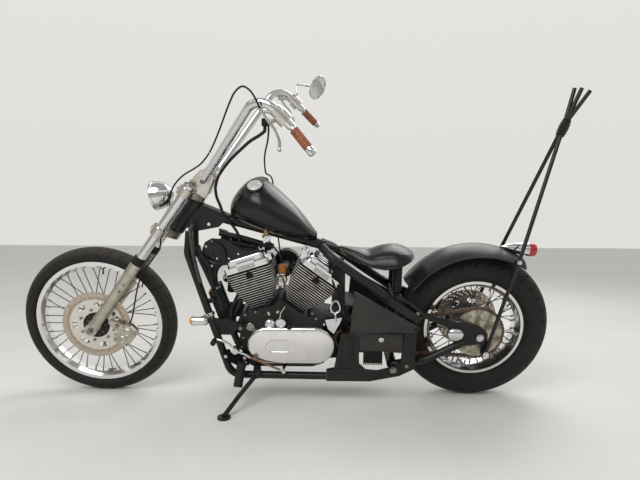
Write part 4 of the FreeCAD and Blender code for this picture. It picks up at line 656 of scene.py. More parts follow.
def tyre_finish(name, centre, radius):
    """Rubber that is paler towards the crown: dust, and a painted highlight along the crown."""
    made = finish(name, (0.0125, 0.0112, 0.01), (0.021, 0.0187, 0.0165), 0.0, (0.58, 0.74), 10, (900, 0.18),
                  shine=0.25)
    tree = made.node_tree
    # Dust and a painted highlight: the crown is paler.
    crown_dust_and_highlight = spread(tree, from_line(tree, centre, AXLE_WAY), radius - 0.026, radius - 0.004, 0, 0.75)
    repaint(made, crown_dust_and_highlight, (0.058, 0.052, 0.045))


def tyre_piece(name, centre, radius, crown, bead, rim_half, rim_radius, pitches, depth, reach, body):
    """A tyre inside the CAD one's surface: S-shaped grooves cut in from both sides, rings on the wall, and painted
    shade on the deep groove floors.
    """
    inner = rim_half - 4
    lip = rim_radius + 2
    edge = radius - crown
    shoulder = (inner * 0.3 + crown * 0.7, lip * 0.75 + edge * 0.25)
    wall = arc_points((inner, lip), shoulder, (crown, edge), 16)
    top = arc_points((crown, edge), (0, radius), (-crown, edge), 56)
    other = [(-across, height) for across, height in reversed(wall)]
    profile = [(inner, bead)] + wall[:-1] + top + other[1:] + [(-inner, bead)]
    place = wheel_place(centre)
    shape = bmesh.new()
    rows = []
    cuts = []
    run = 0
    lengths = [0]
    for before, after in zip(profile, profile[1:]):
        run += math.hypot(after[0] - before[0], after[1] - before[1])
        lengths.append(run)
    middle = lengths[len(profile) // 2]
    for index, (across, height) in enumerate(profile):
        from_middle = abs(lengths[index] - middle)
        shift = GROOVE_SLANT * from_middle
        for bend in (0.3, 0.66):
            shift += GROOVE_WAVE * math.tanh((from_middle - reach * bend) / 3.5)
        begins = min(max((from_middle - 5) / 2, 0), 1)
        ends = min(max((reach - from_middle) / 4, 0), 1)
        cut = depth * begins * ends
        cuts.append(cut)
        on_ring = index in WALL_RINGS or len(profile) - 1 - index in WALL_RINGS
        ring_cut = WALL_RING_DEPTH if on_ring else 0
        grooves = LEFT_GROOVE if across >= 0 else RIGHT_GROOVE
        row = []
        for pitch in range(pitches):
            for part in PITCH_PARTS:
                angle = TURN * (pitch + part + shift) / pitches
                level = height - (cut if part in grooves else 0) - ring_cut - TYRE_INSET
                row.append(shape.verts.new(place @ polar(level, angle, across)))
        rows.append(row)
    for index, (below, above) in enumerate(zip(rows, rows[1:] + rows[:1])):
        grooves = LEFT_GROOVE if profile[index][0] >= 0 else RIGHT_GROOVE
        # Painted shade: faces on a deep groove's floor take the darker rubber.
        deep = cuts[index] > 2 and cuts[(index + 1) % len(rows)] > 2
        for step, face in enumerate(band(shape, below, above)):
            on_floor = PITCH_PARTS[step % len(PITCH_PARTS)] in grooves[:2]
            face.material_index = 1 if on_floor and deep else 0
    tyre_finish(f"{name}_rubber", at(*centre), radius / 1000)
    made = piece(name, shape, body, "tyre", f"{name}_rubber", 40)
    made.data.materials.append(finishes["painted_groove_shade"])
    return made


front_rubber = tyre_piece(
    "front_tread", FRONT_AXLE, radius=338, crown=42, bead=266, rim_half=30, rim_radius=279, pitches=40,
    depth=6, reach=54, body="front_roller",
)
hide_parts("front_tyre")
rear_rubber = tyre_piece(
    "rear_tread", REAR_AXLE, radius=330, crown=72, bead=203, rim_half=48, rim_radius=215, pitches=34,
    depth=7, reach=86, body="rear_roller",
)
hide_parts("rear_tyre")

SPOKES = 40


def wheel_fittings(name, centre, reach, aside, body, valve_angle):
    """A nipple at the foot of each spoke, and the valve."""
    place = wheel_place(centre)
    turn_only = place.to_3x3()
    nipples = []
    for index in range(SPOKES):
        side = 1 if index % 2 else -1
        angle = TURN * (index + 0.5) / SPOKES
        spot = place @ Vector((reach * math.sin(angle), -reach * math.cos(angle), side * aside))
        outward = turn_only @ Vector((math.sin(angle), -math.cos(angle), 0))
        nipples.append((
            lathe, [(-15, 0), (-15, 2.6), (-3, 3.4), (2, 3.4), (2, 0)], frame_along(spot, outward), 8,
        ))
    fitting(f"{name}_nipples", body, "axle_steel", nipples)
    turned(f"{name}_valve", body, "rubber", [
        (-34, 0), (-34, 3.6), (-24, 3.8), (-23, 3), (-10, 3), (-9, 5), (3, 6.5), (3, 0),
    ], frame_along(place @ polar(reach, valve_angle), turn_only @ polar(1, valve_angle)), 16)


wheel_fittings("front", FRONT_AXLE, 250, 5, "front_roller", valve_angle=math.radians(-97))
wheel_fittings("rear", REAR_AXLE, 187, 8, "rear_roller", valve_angle=math.radians(60))
fitting("balance_weight", "front_roller", "axle_steel", [
    (slab, wheel_place(FRONT_AXLE) @ Matrix.Translation((-30, 254, 12)), (22, 9, 10), 2),
], "engine_black")

DISC_WINDOWS = 7
HOLES_IN_ROW = 28
HOLE_RADIUS = 3.5


def disc_piece(name, centre, left, outer, ring_inner, hole_radius, dish, body, node):
    """A brake disc: rows of small holes in the ring, and oval windows in the carrier."""
    drawing = bpy.data.curves.new(name, "CURVE")
    drawing.dimensions = "2D"
    drawing.fill_mode = "BOTH"
    drawing.extrude = 0.0024
    drawing.bevel_depth = 0.0003
    drawing.bevel_resolution = 0

    def loop(points):
        line = drawing.splines.new("POLY")
        line.points.add(len(points) - 1)
        for target, (x, y) in zip(line.points, points):
            target.co = (x / 1000, y / 1000, 0, 1)
        line.use_cyclic_u = True

    def ring(x, y, radius, count):
        turns = [TURN * step / count for step in range(count)]
        return [(x + radius * math.cos(turn), y + radius * math.sin(turn)) for turn in turns]

    loop(ring(0, 0, outer, 128))
    loop(ring(0, 0, hole_radius, 64))
    for row in range(3):
        reach = ring_inner + (outer - ring_inner) * (0.3 + 0.23 * row)
        for index in range(HOLES_IN_ROW):
            angle = TURN * (index + row / 3) / HOLES_IN_ROW
            loop(ring(reach * math.cos(angle), reach * math.sin(angle), HOLE_RADIUS, 10))
    for index in range(DISC_WINDOWS):
        middle = TURN * index / DISC_WINDOWS
        reach = (ring_inner + dish) / 2 + 8
        outline = []
        for step in range(24):
            turn = TURN * step / 24
            swing = middle + 0.235 * math.copysign(abs(math.cos(turn)) ** 0.7, math.cos(turn))
            far = reach + 11 * math.copysign(abs(math.sin(turn)) ** 0.8, math.sin(turn))
            outline.append((far * math.cos(swing), far * math.sin(swing)))
        loop(outline)
    plate = bpy.data.objects.new(name, drawing)
    bpy.context.scene.collection.objects.link(plate)
    bpy.context.view_layer.update()
    mesh = bpy.data.meshes.new_from_object(plate)
    bpy.data.objects.remove(plate)
    mesh.transform(BIKE @ wheel_place(centre, left) @ Matrix.Scale(1000, 4))
    mesh.materials.clear()
    mesh.materials.append(special[node])
    made = bpy.data.objects.new(name, mesh)
    bpy.context.scene.collection.objects.link(made)
    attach(made, body)
    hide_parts(node)


disc_piece(
    "front_rotor", FRONT_AXLE, FRONT_DISC_LEFT, outer=150, ring_inner=116, hole_radius=26, dish=58,
    body="front_roller", node="front_disc",
)
disc_piece(
    "rear_rotor", REAR_AXLE, REAR_DISC_LEFT, outer=135, ring_inner=101, hole_radius=36, dish=52,
    body="rear_roller", node="rear_disc",
)


def disc_bolts(name, place, side, reach, count, radius, body):
    """A circle of cap heads that face out to one side."""
    fitting(name, body, "axle_steel", [
        (bolt, place @ polar(reach, TURN * (index + 0.5) / count), LEFT * side, radius, 5, "cap")
        for index in range(count)
    ])


disc_bolts("front_disc_bolts", wheel_place(FRONT_AXLE, 57.4), 1, 72, 7, 7, "front_roller")
disc_bolts("rear_disc_bolts", wheel_place(REAR_AXLE, -79.4), -1, 66, 7, 7, "rear_roller")

hub_place = wheel_place(FRONT_AXLE, 57.2)
turned("front_hub_ring", "front_roller", "engine_black", [
    (-0.5, 24), (-0.5, 58), (1.5, 58), (3.5, 55), (2, 50), (0, 24),
], hub_place, 64)
HUB_STUDS = 14
fitting("front_hub_studs", "front_roller", "axle_steel", [
    (lathe, [(0, 0), (0, 3.4), (1, 3.4), (1, 2.4), (0.4, 2.2), (0.4, 0)],
     frame_along(hub_place @ polar(40 if index % 2 else 48, TURN * index / HUB_STUDS, 0.8), LEFT), 12)
    for index in range(HUB_STUDS)
])
turned("sprocket_dish", "rear_roller", "worn_alloy", [
    (-3, 34), (-3, 104), (-1, 106), (1, 105), (3, 84), (5, 60), (9, 44), (12, 34), (14, 20), (14, 12),
    (9, 12),
], wheel_place(REAR_AXLE, 96), 72, "sprocket_steel")
disc_bolts("sprocket_bolts", wheel_place(REAR_AXLE, 100), 1, 68, 5, 7.5, "rear_roller")


# Seat: dark leather over foam, with a rolled rim, a stitched seam and a brown wrapped nose

SEAT_STATIONS = (
    (272, 650, 662, 40), (290, 644, 674, 88), (314, 632, 685, 114), (353, 612, 693, 124),
    (398, 604, 689, 114), (428, 607, 680, 106), (462, 613, 669, 92), (510, 626, 679, 66),
    (562, 644, 688, 34), (586, 666, 690, 18),
)
SEAT_CORE_HEIGHT = 655
SEAT_STEPS = 128
SEAT_INSET = 1.5

# Places around a seat section, which has eight points: its top is at 4, and its widest points are 2 and 6.
SEAT_TOP = 4
SEAM_FROM_TOP = 1.2


def seat_section(u, low, high, half):
    """The eight points that the CAD section runs through."""
    middle = low + (high - low) * 0.2
    under = low + (middle - low) * 0.22
    over = middle + (high - middle) * 0.74
    return [Vector((u, v, w)) for v, w in (
        (0, low), (half * 0.72, under), (half, middle), (half * 0.72, over),
        (0, high), (-half * 0.72, over), (-half, middle), (-half * 0.72, under),
    )]


def around(points, s):
    """A point at s along a closed smooth line through the points."""
    index = int(math.floor(s))
    return smooth_between(*(points[(index + step) % len(points)] for step in (-1, 0, 1, 2)), s - index)


def seat_stations(steps):
    numbers = smooth_path([Vector(station[:3]) for station in SEAT_STATIONS], steps)
    halves = smooth_path([Vector((station[3], 0, 0)) for station in SEAT_STATIONS], steps)
    return [seat_section(spot.x, spot.y, spot.z, half.x) for spot, half in zip(numbers, halves)]


def seat_sink(spot, from_top):
    """How far the leather lies inside the CAD surface: a seam with puckers, and soft waves on the top."""
    sink = SEAT_INSET
    if from_top < 2:
        near_seam = (from_top - SEAM_FROM_TOP) / 0.07
        sink += 1.5 * math.exp(-near_seam * near_seam)
        pucker = noise.noise(Vector((spot.x * 0.06, spot.y * 0.02, 3)))
        sink += 1.1 * pucker * math.exp(-((from_top - 1.0) / 0.3) ** 2)
        sink += 0.8 * noise.noise(spot * 0.012)
    return sink


def seat_piece():
    shape = bmesh.new()
    rows = []
    sections = seat_stations(14)
    for index, points in enumerate(sections):
        row = []
        for step in range(SEAT_STEPS):
            s = step / SEAT_STEPS * len(points)
            spot = around(points, s)
            outward = (spot - Vector((spot.x, 0, SEAT_CORE_HEIGHT))).normalized()
            if 0 < index < len(sections) - 1:
                spot = spot - outward * seat_sink(spot, abs(s - SEAT_TOP))
            row.append(shape.verts.new(spot))
        rows.append(row)
    closed_skin(shape, rows)
    made = piece("saddle", shape, "root", "seat_leather", "saddle_leather", 60)
    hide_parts("seat")


leather = finish("saddle_leather", (0.011, 0.0095, 0.009), (0.007, 0.006, 0.0057), 0.0, (0.2, 0.31), 12,
                 (330, 0.12), shine=0.36)
cells = add(leather.node_tree, "ShaderNodeTexVoronoi", Scale=420.0)
cells.feature = "DISTANCE_TO_EDGE"
leather.node_tree.links.new(own_place(leather.node_tree), cells.inputs["Vector"])
add_bump(leather.node_tree, cells.outputs["Distance"], 0.35, 0.0006)
finish("seat_thread", (0.05, 0.045, 0.04), (0.03, 0.028, 0.026), 0.0, (0.6, 0.7), 90, (900, 0.4))
finish("nose_leather", (0.1, 0.06, 0.03), (0.045, 0.026, 0.016), 0.0, (0.4, 0.55), 40, (500, 0.4))
seat_piece()

sections = seat_stations(6)
for name, side in SIDES:
    widest = 2 if side > 0 else 6
    rim_line = [points[widest] + Vector((0, -side * 2.5, -1)) for points in sections[1:-1]]
    fitting(f"seat_rim_{name}", "root", "seat_leather", [(tube, rim_line, 3.2, 8, 2)], "saddle_leather", 60)
    stitches = []
    line = smooth_path([around(points, SEAT_TOP - side * 1.27) for points in sections[2:-3]], 3)
    for spot, after in zip(line[::2], line[1::2]):
        run = (after - spot).normalized()
        inward = (Vector((spot.x, 0, SEAT_CORE_HEIGHT)) - spot).normalized()
        low = spot + inward * 2.6
        stitches.append((tube, [low, spot + inward * 1.3 + run * 1.5, low + run * 3], 0.55, 5, 2))
    fitting(f"seat_stitches_{name}", "root", "seat_leather", stitches, "seat_thread", 60)
    nose_line = [
        around(points, SEAT_TOP - side * (1.78 - 0.1 * step)) + Vector((0, side * 0.4, -3))
        for step, points in enumerate(sections[-8:-1])
    ]
    fitting(f"seat_nose_{name}", "root", "seat_leather", [(tube, nose_line, 4.4, 8, 2)], "nose_leather", 60)


# Grips: leather strip wound over the bar, then the bright end

BAR_OVER_CLAMP = 80
BAR_CENTRE = on_fork(10, 0, CLAMP_LEVELS[1] + BAR_OVER_CLAMP)
BAR_ROLL = math.radians(-4.8)
GRIP_STEPS = 40
GRIP_RADIUS = 15.2
WRAP_TURNS = 11
STEPS_PER_TURN = 14


def on_bar(point, side):
    """A point of the handlebar's left or right arm; the bar is rolled a little down to its left."""
    low = Vector((point[0], point[1] * side, point[2])) - BAR_CENTRE
    return BAR_CENTRE + Matrix.Rotation(BAR_ROLL, 3, "X") @ low


def grip_pieces(name, side):
    first = on_bar((762, 348, 1229), side)
    last = on_bar((687, 398, 1145), side)
    run = (last - first).normalized()
    length = (last - first).length - 44
    place = frame_along(first + run * 20, run)
    shape = bmesh.new()
    rows = []
    for step in range(WRAP_TURNS * STEPS_PER_TURN + 1):
        share = step / (WRAP_TURNS * STEPS_PER_TURN)
        row = []
        for around_step in range(GRIP_STEPS):
            phase = (share * WRAP_TURNS - around_step / GRIP_STEPS) % 1
            swell = 1.1 * math.sin(math.pi * phase) ** 0.5 - 0.9 * (phase < 0.06 or phase > 0.95)
            spot = polar(GRIP_RADIUS + swell, TURN * around_step / GRIP_STEPS, length * share)
            row.append(shape.verts.new(place @ spot))
        rows.append(row)
    closed_skin(shape, rows)
    wrap = piece(f"grip_wrap_{name}", shape, "steering", "grip_wrap", None, 50)
    turned(f"grip_cap_{name}", "steering", "chrome", [
        (0.3, 11.2), (0.3, 14.6), (1.5, 15), (22, 15), (23.5, 14.2), (25, 14.2), (27, 13), (28.5, 10),
        (29, 0),
    ], frame_along(last - run * 24, run), 40)
    return wrap


left_wrap = grip_pieces("left", 1)
grip_pieces("right", -1)
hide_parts("grips")


# Fasteners, grouped by the body that they ride on

def bolts(name, body, heads, slot="axle_steel"):
    """Heads given as place, radius and kind, and as the way they face where that isn't to the left."""
    shape = bmesh.new()
    for spot, radius, kind, *way in heads:
        bolt(shape, spot, way[0] if way else LEFT, radius, None, kind)
    piece(name, shape, body, slot)


bolts("left_frame_bolts", "root", [
    ((371, 135, 489), 7, "hex"), ((263, 135, 433), 7, "hex"), ((300, 142, 200), 9, "cap"),
    ((355, 142, 178), 11, "hex"), ((1000, 138, 366), 8, "cap"), ((410, 148, 366), 5, "cap"),
])
bolts("engine_bolts", "root", [
    ((650, 147, 390), 5, "cap"), ((600, 147, 402), 5, "cap"), ((612, 147, 366), 5, "cap"),
    ((1100, 105, 300), 6, "hex"),
], "chrome")
bolts("fender_bolts", "root", [
    ((-142, 118, 652), 7, "hex"), ((-26, 158, 262), 9, "hex"), ((0, 146.5, 331), 9, "hex"),
], "chrome")
bolts("fork_bolts", "steering", [
    *(
        (on_fork(76, LEG_LEFT * side, level), 6, "cap", STEER_AHEAD)
        for side in (1, -1) for level in CLAMP_LEVELS
    ),
    *((on_fork(FORK_OFFSET, LEG_LEFT * side, 768), 14, "hex", STEER_UP) for side in (1, -1)),
    *((on_fork(FORK_OFFSET - 8, LEG_LEFT + 23.5, height), 5, "cap") for height in (226, 262)),
    *(
        (on_fork(44, 48 * side + offset, 822), 5, "cap", (-0.1, 0, 1))
        for side in (1, -1) for offset in (-11, 11)
    ),
    ((1647, 129.6, 338.8), 9, "cap"),
])
CALIPER_AHEAD = FORK_OFFSET - 128
bolts("caliper_bolts", "steering", [
    (on_fork(CALIPER_AHEAD + 52, 95.5, 64), 7, "hex"), (on_fork(CALIPER_AHEAD + 52, 95.5, 48), 5, "cap"),
])


# Front caliper: two rounded halves over the disc, its bracket and bosses

CALIPER_OUTLINE = [
    (-38, -24), (-30, -42), (-8, -50), (26, -48), (38, -28), (38, 26), (28, 44), (0, 52), (-26, 46),
    (-38, 26),
]
PISTON_BOSS = [(-4, 0), (-4, 20), (4, 20), (6.5, 17), (6.5, 11), (4.5, 9), (4.5, 0)]
caliper_place = (
    Matrix.Translation(on_fork(CALIPER_AHEAD, FRONT_DISC_LEFT, 44))
    @ Matrix((STEER_AHEAD, LEFT, STEER_UP)).transposed().to_4x4()
)
made = fitting("caliper", "steering", "worn_alloy", [
    (flat_piece, CALIPER_OUTLINE, 8, 29, 5, caliper_place),
    (flat_piece, CALIPER_OUTLINE, -20, -8, 3, caliper_place),
    (flat_piece, [(-38, -26), (-27, -34), (-27, 36), (-38, 28)], -18, 27, 3, caliper_place),
    (flat_piece, [(28, 40), (60, 34), (91, 28), (91, 10), (62, 2), (28, -2)], 18, 30, 3, caliper_place),
    *(
        (lathe, PISTON_BOSS, frame_along(caliper_place @ Vector((-2, 28, level)), LEFT), 32)
        for level in (-21, 21)
    ),
])
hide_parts("front_caliper")
hose_end = on_fork(-72, 69, 90)
fitting("caliper_fittings", "steering", "axle_steel", [
    *(
        (bolt, caliper_place @ Vector((ahead, 28.6, up)), LEFT, 4, 5, "cap")
        for ahead, up in ((-30, 36), (-30, -30), (24, 36), (26, -38))
    ),
    (lathe, [(-14, 0), (-14, 6), (4, 6), (4, 0)], frame_along(hose_end, STEER_UP), 16),
    (bolt, hose_end + LEFT * 4, LEFT, 8, 6),
    (lathe, [(0, 0), (0, 4), (10, 3), (11, 4.5), (17, 4.5), (18, 0)],
     frame_along(caliper_place @ Vector((20, 20, 47)), STEER_UP), 12),
])


# Headlight rim, taillight ring, fuel caps, mirror glass

turned("headlight_rim", "steering", "chrome", [
    (-10, 60.1), (-9, 61.6), (-4, 62.6), (0, 62.2), (2.5, 60), (3, 57), (1.5, 54.5), (0.2, 54.6), (0.2, 60),
], frame_along((1367, 0, 900), (0.983, 0, -0.184)), 72)

tail_place = frame_along((-100, 0, 690), (-0.99, 0, -0.12))
made = turned("taillight_glass", "root", "red_lens", [
    (117, 27.2), (117, 28.6), (119, 29), (139, 29), (141, 28.2), (142, 27), (147, 26), (151, 20), (153.5, 8),
    (154, 0),
], tail_place, 48)
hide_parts("taillight_lens")
turned("taillight_ring", "root", "chrome", [
    (110, 26), (111, 28.6), (114, 29.6), (116.8, 29.4), (116.9, 27),
], tail_place, 48)

CAP = [
    (0.5, 0), (0.5, 30.5), (14, 30.5), (16.5, 29), (18, 25), (18.6, 19), (20, 17.5), (20.2, 8), (20.2, 0),
]
CAP_BEZEL = [(4, 31.2), (4, 36.5), (10.5, 36.5), (12.5, 34), (12.5, 31.2)]
cap_places = [frame_along((929, 77 * side, 948), (0.1, 0.5 * side, 0.86)) for side in (1, -1)]
finish("cap_metal", (0.8, 0.79, 0.77), (0.62, 0.61, 0.59), 0.55, (0.3, 0.42), 60, (220, 0.12))
made = fitting("filler_caps", "root", "chrome", [
    (lathe, CAP, place, 64) for place in cap_places
], "cap_metal")
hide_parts("fuel_caps")
fitting("cap_bezels", "root", "rubber", [(lathe, CAP_BEZEL, place, 64) for place in cap_places])

mirror_place = frame_along((688, -400, 1354), (-0.76, 0.55, -0.34))
finish("mirror_glass", (0.7, 0.74, 0.68), (0.5, 0.54, 0.5), 1.0, (0.04, 0.1), 12, (500, 0.02))
turned("mirror_pane", "steering", "chrome", [
    (0.1, 0), (0.1, 51.5), (1.2, 51), (1.6, 50), (1.6, 0),
], mirror_place, 64, "mirror_glass")
turned("mirror_rim", "steering", "chrome", [
    (-3, 55.5), (-2, 57.2), (1, 57.6), (3, 56), (3, 52.5), (1.3, 51.4), (0.2, 51.6), (0.2, 55),
], mirror_place, 64)


# Small fittings on the left of the engine and tank

finish("brass", (0.62, 0.44, 0.2), (0.42, 0.27, 0.1), 1.0, (0.2, 0.4), 60, (500, 0.1))
fitting("fuel_tap", "root", "worn_alloy", [
    (lathe, [(0, 0), (0, 9), (12, 9), (14, 12), (22, 12), (24, 8), (36, 7), (38, 0)],
     frame_along((892, 70, 778), (-0.1, 0.1, -1)), 24),
    (lathe, [(0, 0), (0, 7), (16, 7), (18, 0)], frame_along((890, 74, 748), (0.9, 0.3, -0.1)), 20),
], "brass")
fitting("tap_knob", "root", "chrome", [
    (lathe, [(0, 0), (0, 8), (14, 8), (15, 14), (21, 15), (23, 12), (23, 5), (20, 4), (20, 0)],
     frame_along((888, 74, 745), (-0.1, 1, -0.2)), 10),
    (slab, tilted((884, 94, 738), 0.7), (40, 5, 10), 2),
])

finish("amber_plug", (0.36, 0.14, 0.03), (0.22, 0.07, 0.016), 0.0, (0.3, 0.5), 50, (500, 0.2))
turned("amber_connector", "root", "rubber", [
    (0, 0), (0, 16), (5, 18.5), (26, 18), (34, 14), (38, 5), (38, 0),
], frame_along((829, 40, 581), UP), 24, "amber_plug")
turned("connector_base", "root", "polished_alloy", [
    (0, 0), (0, 16), (3, 19.5), (8, 19.5), (10, 16), (10, 0),
], frame_along((829, 40, 571), UP), 28)
fitting("connector_lead", "root", "rubber", [
    (tube, [(892, 76, 742), (872, 70, 716), (850, 56, 680), (834, 44, 648), (829, 40, 616)], 3.6, 10),
    (tube, [(829, 40, 573), (832, 40, 562), (835, 38, 548)], 4, 10),
])
fitting("intake_bell", "root", "polished_alloy", [
    (lathe, [(0, 0), (0, 21.5), (4, 21.8), (10, 20), (13, 17), (13, 0)],
     frame_along((829.5, 35.5, 548), (0.1, 1, 0.1)), 40),
    (lathe, [(-6, 0), (-4, 9), (6, 14), (26, 18), (44, 14), (54, 8), (56, 0)],
     frame_along((837, 52, 560), (-0.12, 0, -1)), 28),
])

fitting("cover_stick", "root", "chrome", [
    (tube, [(832, 134, 412), (832, 134, 428), (827, 134, 438), (812, 134, 462)], 2.6, 10),
])
turned("dial_ring", "root", "chrome", [
    (0, 16), (0, 20), (2, 20), (3, 18), (3, 15), (1, 14.5), (1, 0),
], frame_along((830, 151.2, 394), LEFT), 48)
fitting("cover_bosses", "root", "engine_black", [
    (lathe, [(-6, 0), (-6, 12), (4, 12), (6, 10), (6, 5), (3, 4), (3, 0)],
     frame_along((795, 146, 374), LEFT), 24),
    (lathe, [(0, 0), (0, 15), (9, 15), (11, 13), (11, 8), (7, 7), (7, 0)],
     frame_along((1000, 127.8, 366), LEFT), 32),
])

hook_loop = []
for step in range(33):
    turn = TURN * step / 32
    hook_loop.append((604 + 19 * math.sin(turn), 150, 462 + 26 * math.cos(turn) + 6 * math.cos(turn) ** 2))
fitting("key_hook", "root", "chrome", [
    (tube, hook_loop, 4.2, 10, 2), (tube, [(604, 150, 438), (602, 147, 424), (600, 143, 406)], 5, 10),
])

COVER_MIDDLE = Vector((788.5, 154.1, 290))
HALF_STRAIGHT = 100.5
DOME_REACH = 73
DOME_HEIGHT = 9.5
OVAL_AHEAD = 48
OVAL_UP = 5
OVAL_HALF_STRAIGHT = 32
OVAL_RADIUS = 25
OVAL_DEPTH = 2.4
OVAL_BEAD = 1.1
SEAM_POINT = (-26.5, 11)
SEAM_WAY = (0.912, 0.41)
SEAM_WIDTH = 1.1


def cover_outline(share, reach):
    """A point (ahead, up) on the cover's long oval, whose quarters are a straight or a half circle each."""
    if share < 1:
        spot, way = HALF_STRAIGHT - 2 * HALF_STRAIGHT * share, math.pi / 2
    elif share < 2:
        spot, way = -HALF_STRAIGHT, math.pi / 2 + math.pi * (share - 1)
    elif share < 3:
        spot, way = -HALF_STRAIGHT + 2 * HALF_STRAIGHT * (share - 2), -math.pi / 2
    else:
        spot, way = HALF_STRAIGHT, -math.pi / 2 + math.pi * (share - 3)
    return spot + reach * math.cos(way), reach * math.sin(way)


def cover_skin():
    """The left cover's domed outer face, with its blank oval recess and slanted seam."""
    shape = bmesh.new()
    rings = []
    steps = 192
    levels = 40
    for level in range(levels + 1):
        reach = DOME_REACH * (1 - level / levels)
        ring = []
        for step in range(steps):
            ahead, up = cover_outline(step / steps * 4, reach)
            height = DOME_HEIGHT * (1 - (reach / DOME_REACH) ** 2.2)
            oval = max(abs(ahead - OVAL_AHEAD) - OVAL_HALF_STRAIGHT, 0)
            from_oval = math.hypot(oval, up - OVAL_UP) - OVAL_RADIUS
            height -= OVAL_DEPTH / (1 + math.exp(min(max(from_oval * 2.2, -30), 30)))
            height += OVAL_BEAD * math.exp(-((from_oval - 3) / 1.6) ** 2)
            seam = (ahead - SEAM_POINT[0]) * SEAM_WAY[0] + (up - SEAM_POINT[1]) * SEAM_WAY[1]
            height -= math.exp(-(seam / SEAM_WIDTH) ** 2)
            ring.append(shape.verts.new(COVER_MIDDLE + Vector((ahead, height, up))))
        rings.append(ring)
    for below, above in zip(rings, rings[1:]):
        band(shape, below, above)
    bmesh.ops.remove_doubles(shape, verts=shape.verts, dist=0.02)
    piece("primary_face", shape, "root", "chrome", "cover_chrome", 180)


finish("cover_chrome", (0.84, 0.83, 0.82), (0.74, 0.73, 0.72), 1.0, (0.08, 0.16), 18, (20, 0.16))
cover_skin()

fitting("box_lock", "root", "chrome", [
    (lathe, [(0, 0), (0, 11), (1.5, 11), (2.5, 9.5), (2.5, 6), (1, 5), (1, 0)],
     frame_along((410, 141, 318), LEFT), 32),
    (slab, tilted((410, 142, 318)), (2, 1.6, 7), 0.3),
])
acorn = bmesh.new()
lathe(acorn, [(-34, 0), (-32, 12), (-24, 22), (-8, 28.5), (10, 29), (24, 24), (33, 12), (35, 0)],
      frame_along((103, 143, 346), (1, 0, 0.05)), 40)
bmesh.ops.scale(acorn, vec=(1, 0.62, 1), verts=acorn.verts, space=Matrix.Translation((-103, -143, -346)))
piece("axle_acorn", acorn, "root", "chrome")

head_places = [tilted(base, tilt) for base, tilt in CYLINDERS.values()]
finish("rocker_plate", (0.5, 0.49, 0.46), (0.42, 0.41, 0.38), 0.9, (0.35, 0.45), 30, (600, 0.08))
fitting("rocker_plates", "root", "worn_alloy", [
    (slab, place @ Matrix.Translation((0, side * 90.8, 190)), (74, 1.8, 19), 0.8)
    for place in head_places for side in (1, -1)
], "rocker_plate")
studs = []
for place in head_places:
    studs += [(place @ Vector((ahead, 91.6, 190)), 3.2, "cap") for ahead in (-24, 24)]
    studs += [(place @ Vector((ahead, 46, 3)), 6, "hex", place.to_3x3() @ UP) for ahead in (-44, 44)]
bolts("cylinder_bolts", "root", studs, "chrome")

finish("loom_tape", (0.03, 0.03, 0.03), (0.05, 0.05, 0.05), 0.0, (0.16, 0.3), 40, (200, 0.4))
fitting("downtube_loom", "root", "rubber", [(tube, [
    (1196, 58, 792), (1203, 72, 775), (1203, 76, 740), (1198, 80, 687), (1186, 92, 630), (1172, 103, 578),
    (1166, 104, 556),
], 8, 12)], "loom_tape")
fitting("loom_ties", "root", "rubber", [
    (lathe, sleeve(2, 8.6 - 0.4, 8.6 + 0.8), frame_along(spot, run), 24)
    for spot, run in (((1203, 76, 742), (0.1, -0.08, 1)), ((1188, 90, 638), (0.3, -0.28, 1)))
])
finish("white_nylon", (0.75, 0.74, 0.7), (0.66, 0.64, 0.6), 0.0, (0.4, 0.5), 60, (500, 0.1))
tie_place = frame_along((1081, 174, 1096), (0.53, -0.42, -0.72))
fitting("white_tie", "steering", "rubber", [
    (lathe, sleeve(2.2, 3.2, 4.6), tie_place, 20),
    (slab, tie_place @ Matrix.Translation((0, 10, 0)), (3, 14, 1.2), 0.4),
], "white_nylon")


# Under the tank and behind the engine: coil, hoses, wires and battery

fitting("coil_plate", "root", "frame_paint", [(flat_piece, [
    (1159, 691), (1149, 717), (1119, 734), (1069, 730), (1028, 704), (1000, 690), (978, 678), (932, 690),
    (912, 675), (930, 655), (980, 640), (1023, 630), (1074, 630), (1123, 647),
], 58, 64, 2)])
fitting("coil_box", "root", "engine_black", [
    (slab, tilted((1010, 22, 668)), (120, 66, 46), 8),
    (lathe, [(0, 0), (0, 16), (24, 15), (28, 10), (28, 0)], frame_along((960, 24, 668), -AHEAD), 20),
    (flat_piece, [(1100, 760), (1066, 750), (1040, 690), (1080, 690)], -14, 14, 3),
])
bolts("coil_plate_bolts", "root", [
    *(((u, 64, w), 4.5, "cap") for u, w in ((1143, 700), (1118, 720), (1100, 648), (1050, 648), (1010, 668))),
    ((1136, 23, 786), 8, "cap"), ((1066, 143, 239), 8, "cap"), ((987, 143, 231), 8, "cap"),
], "chrome")

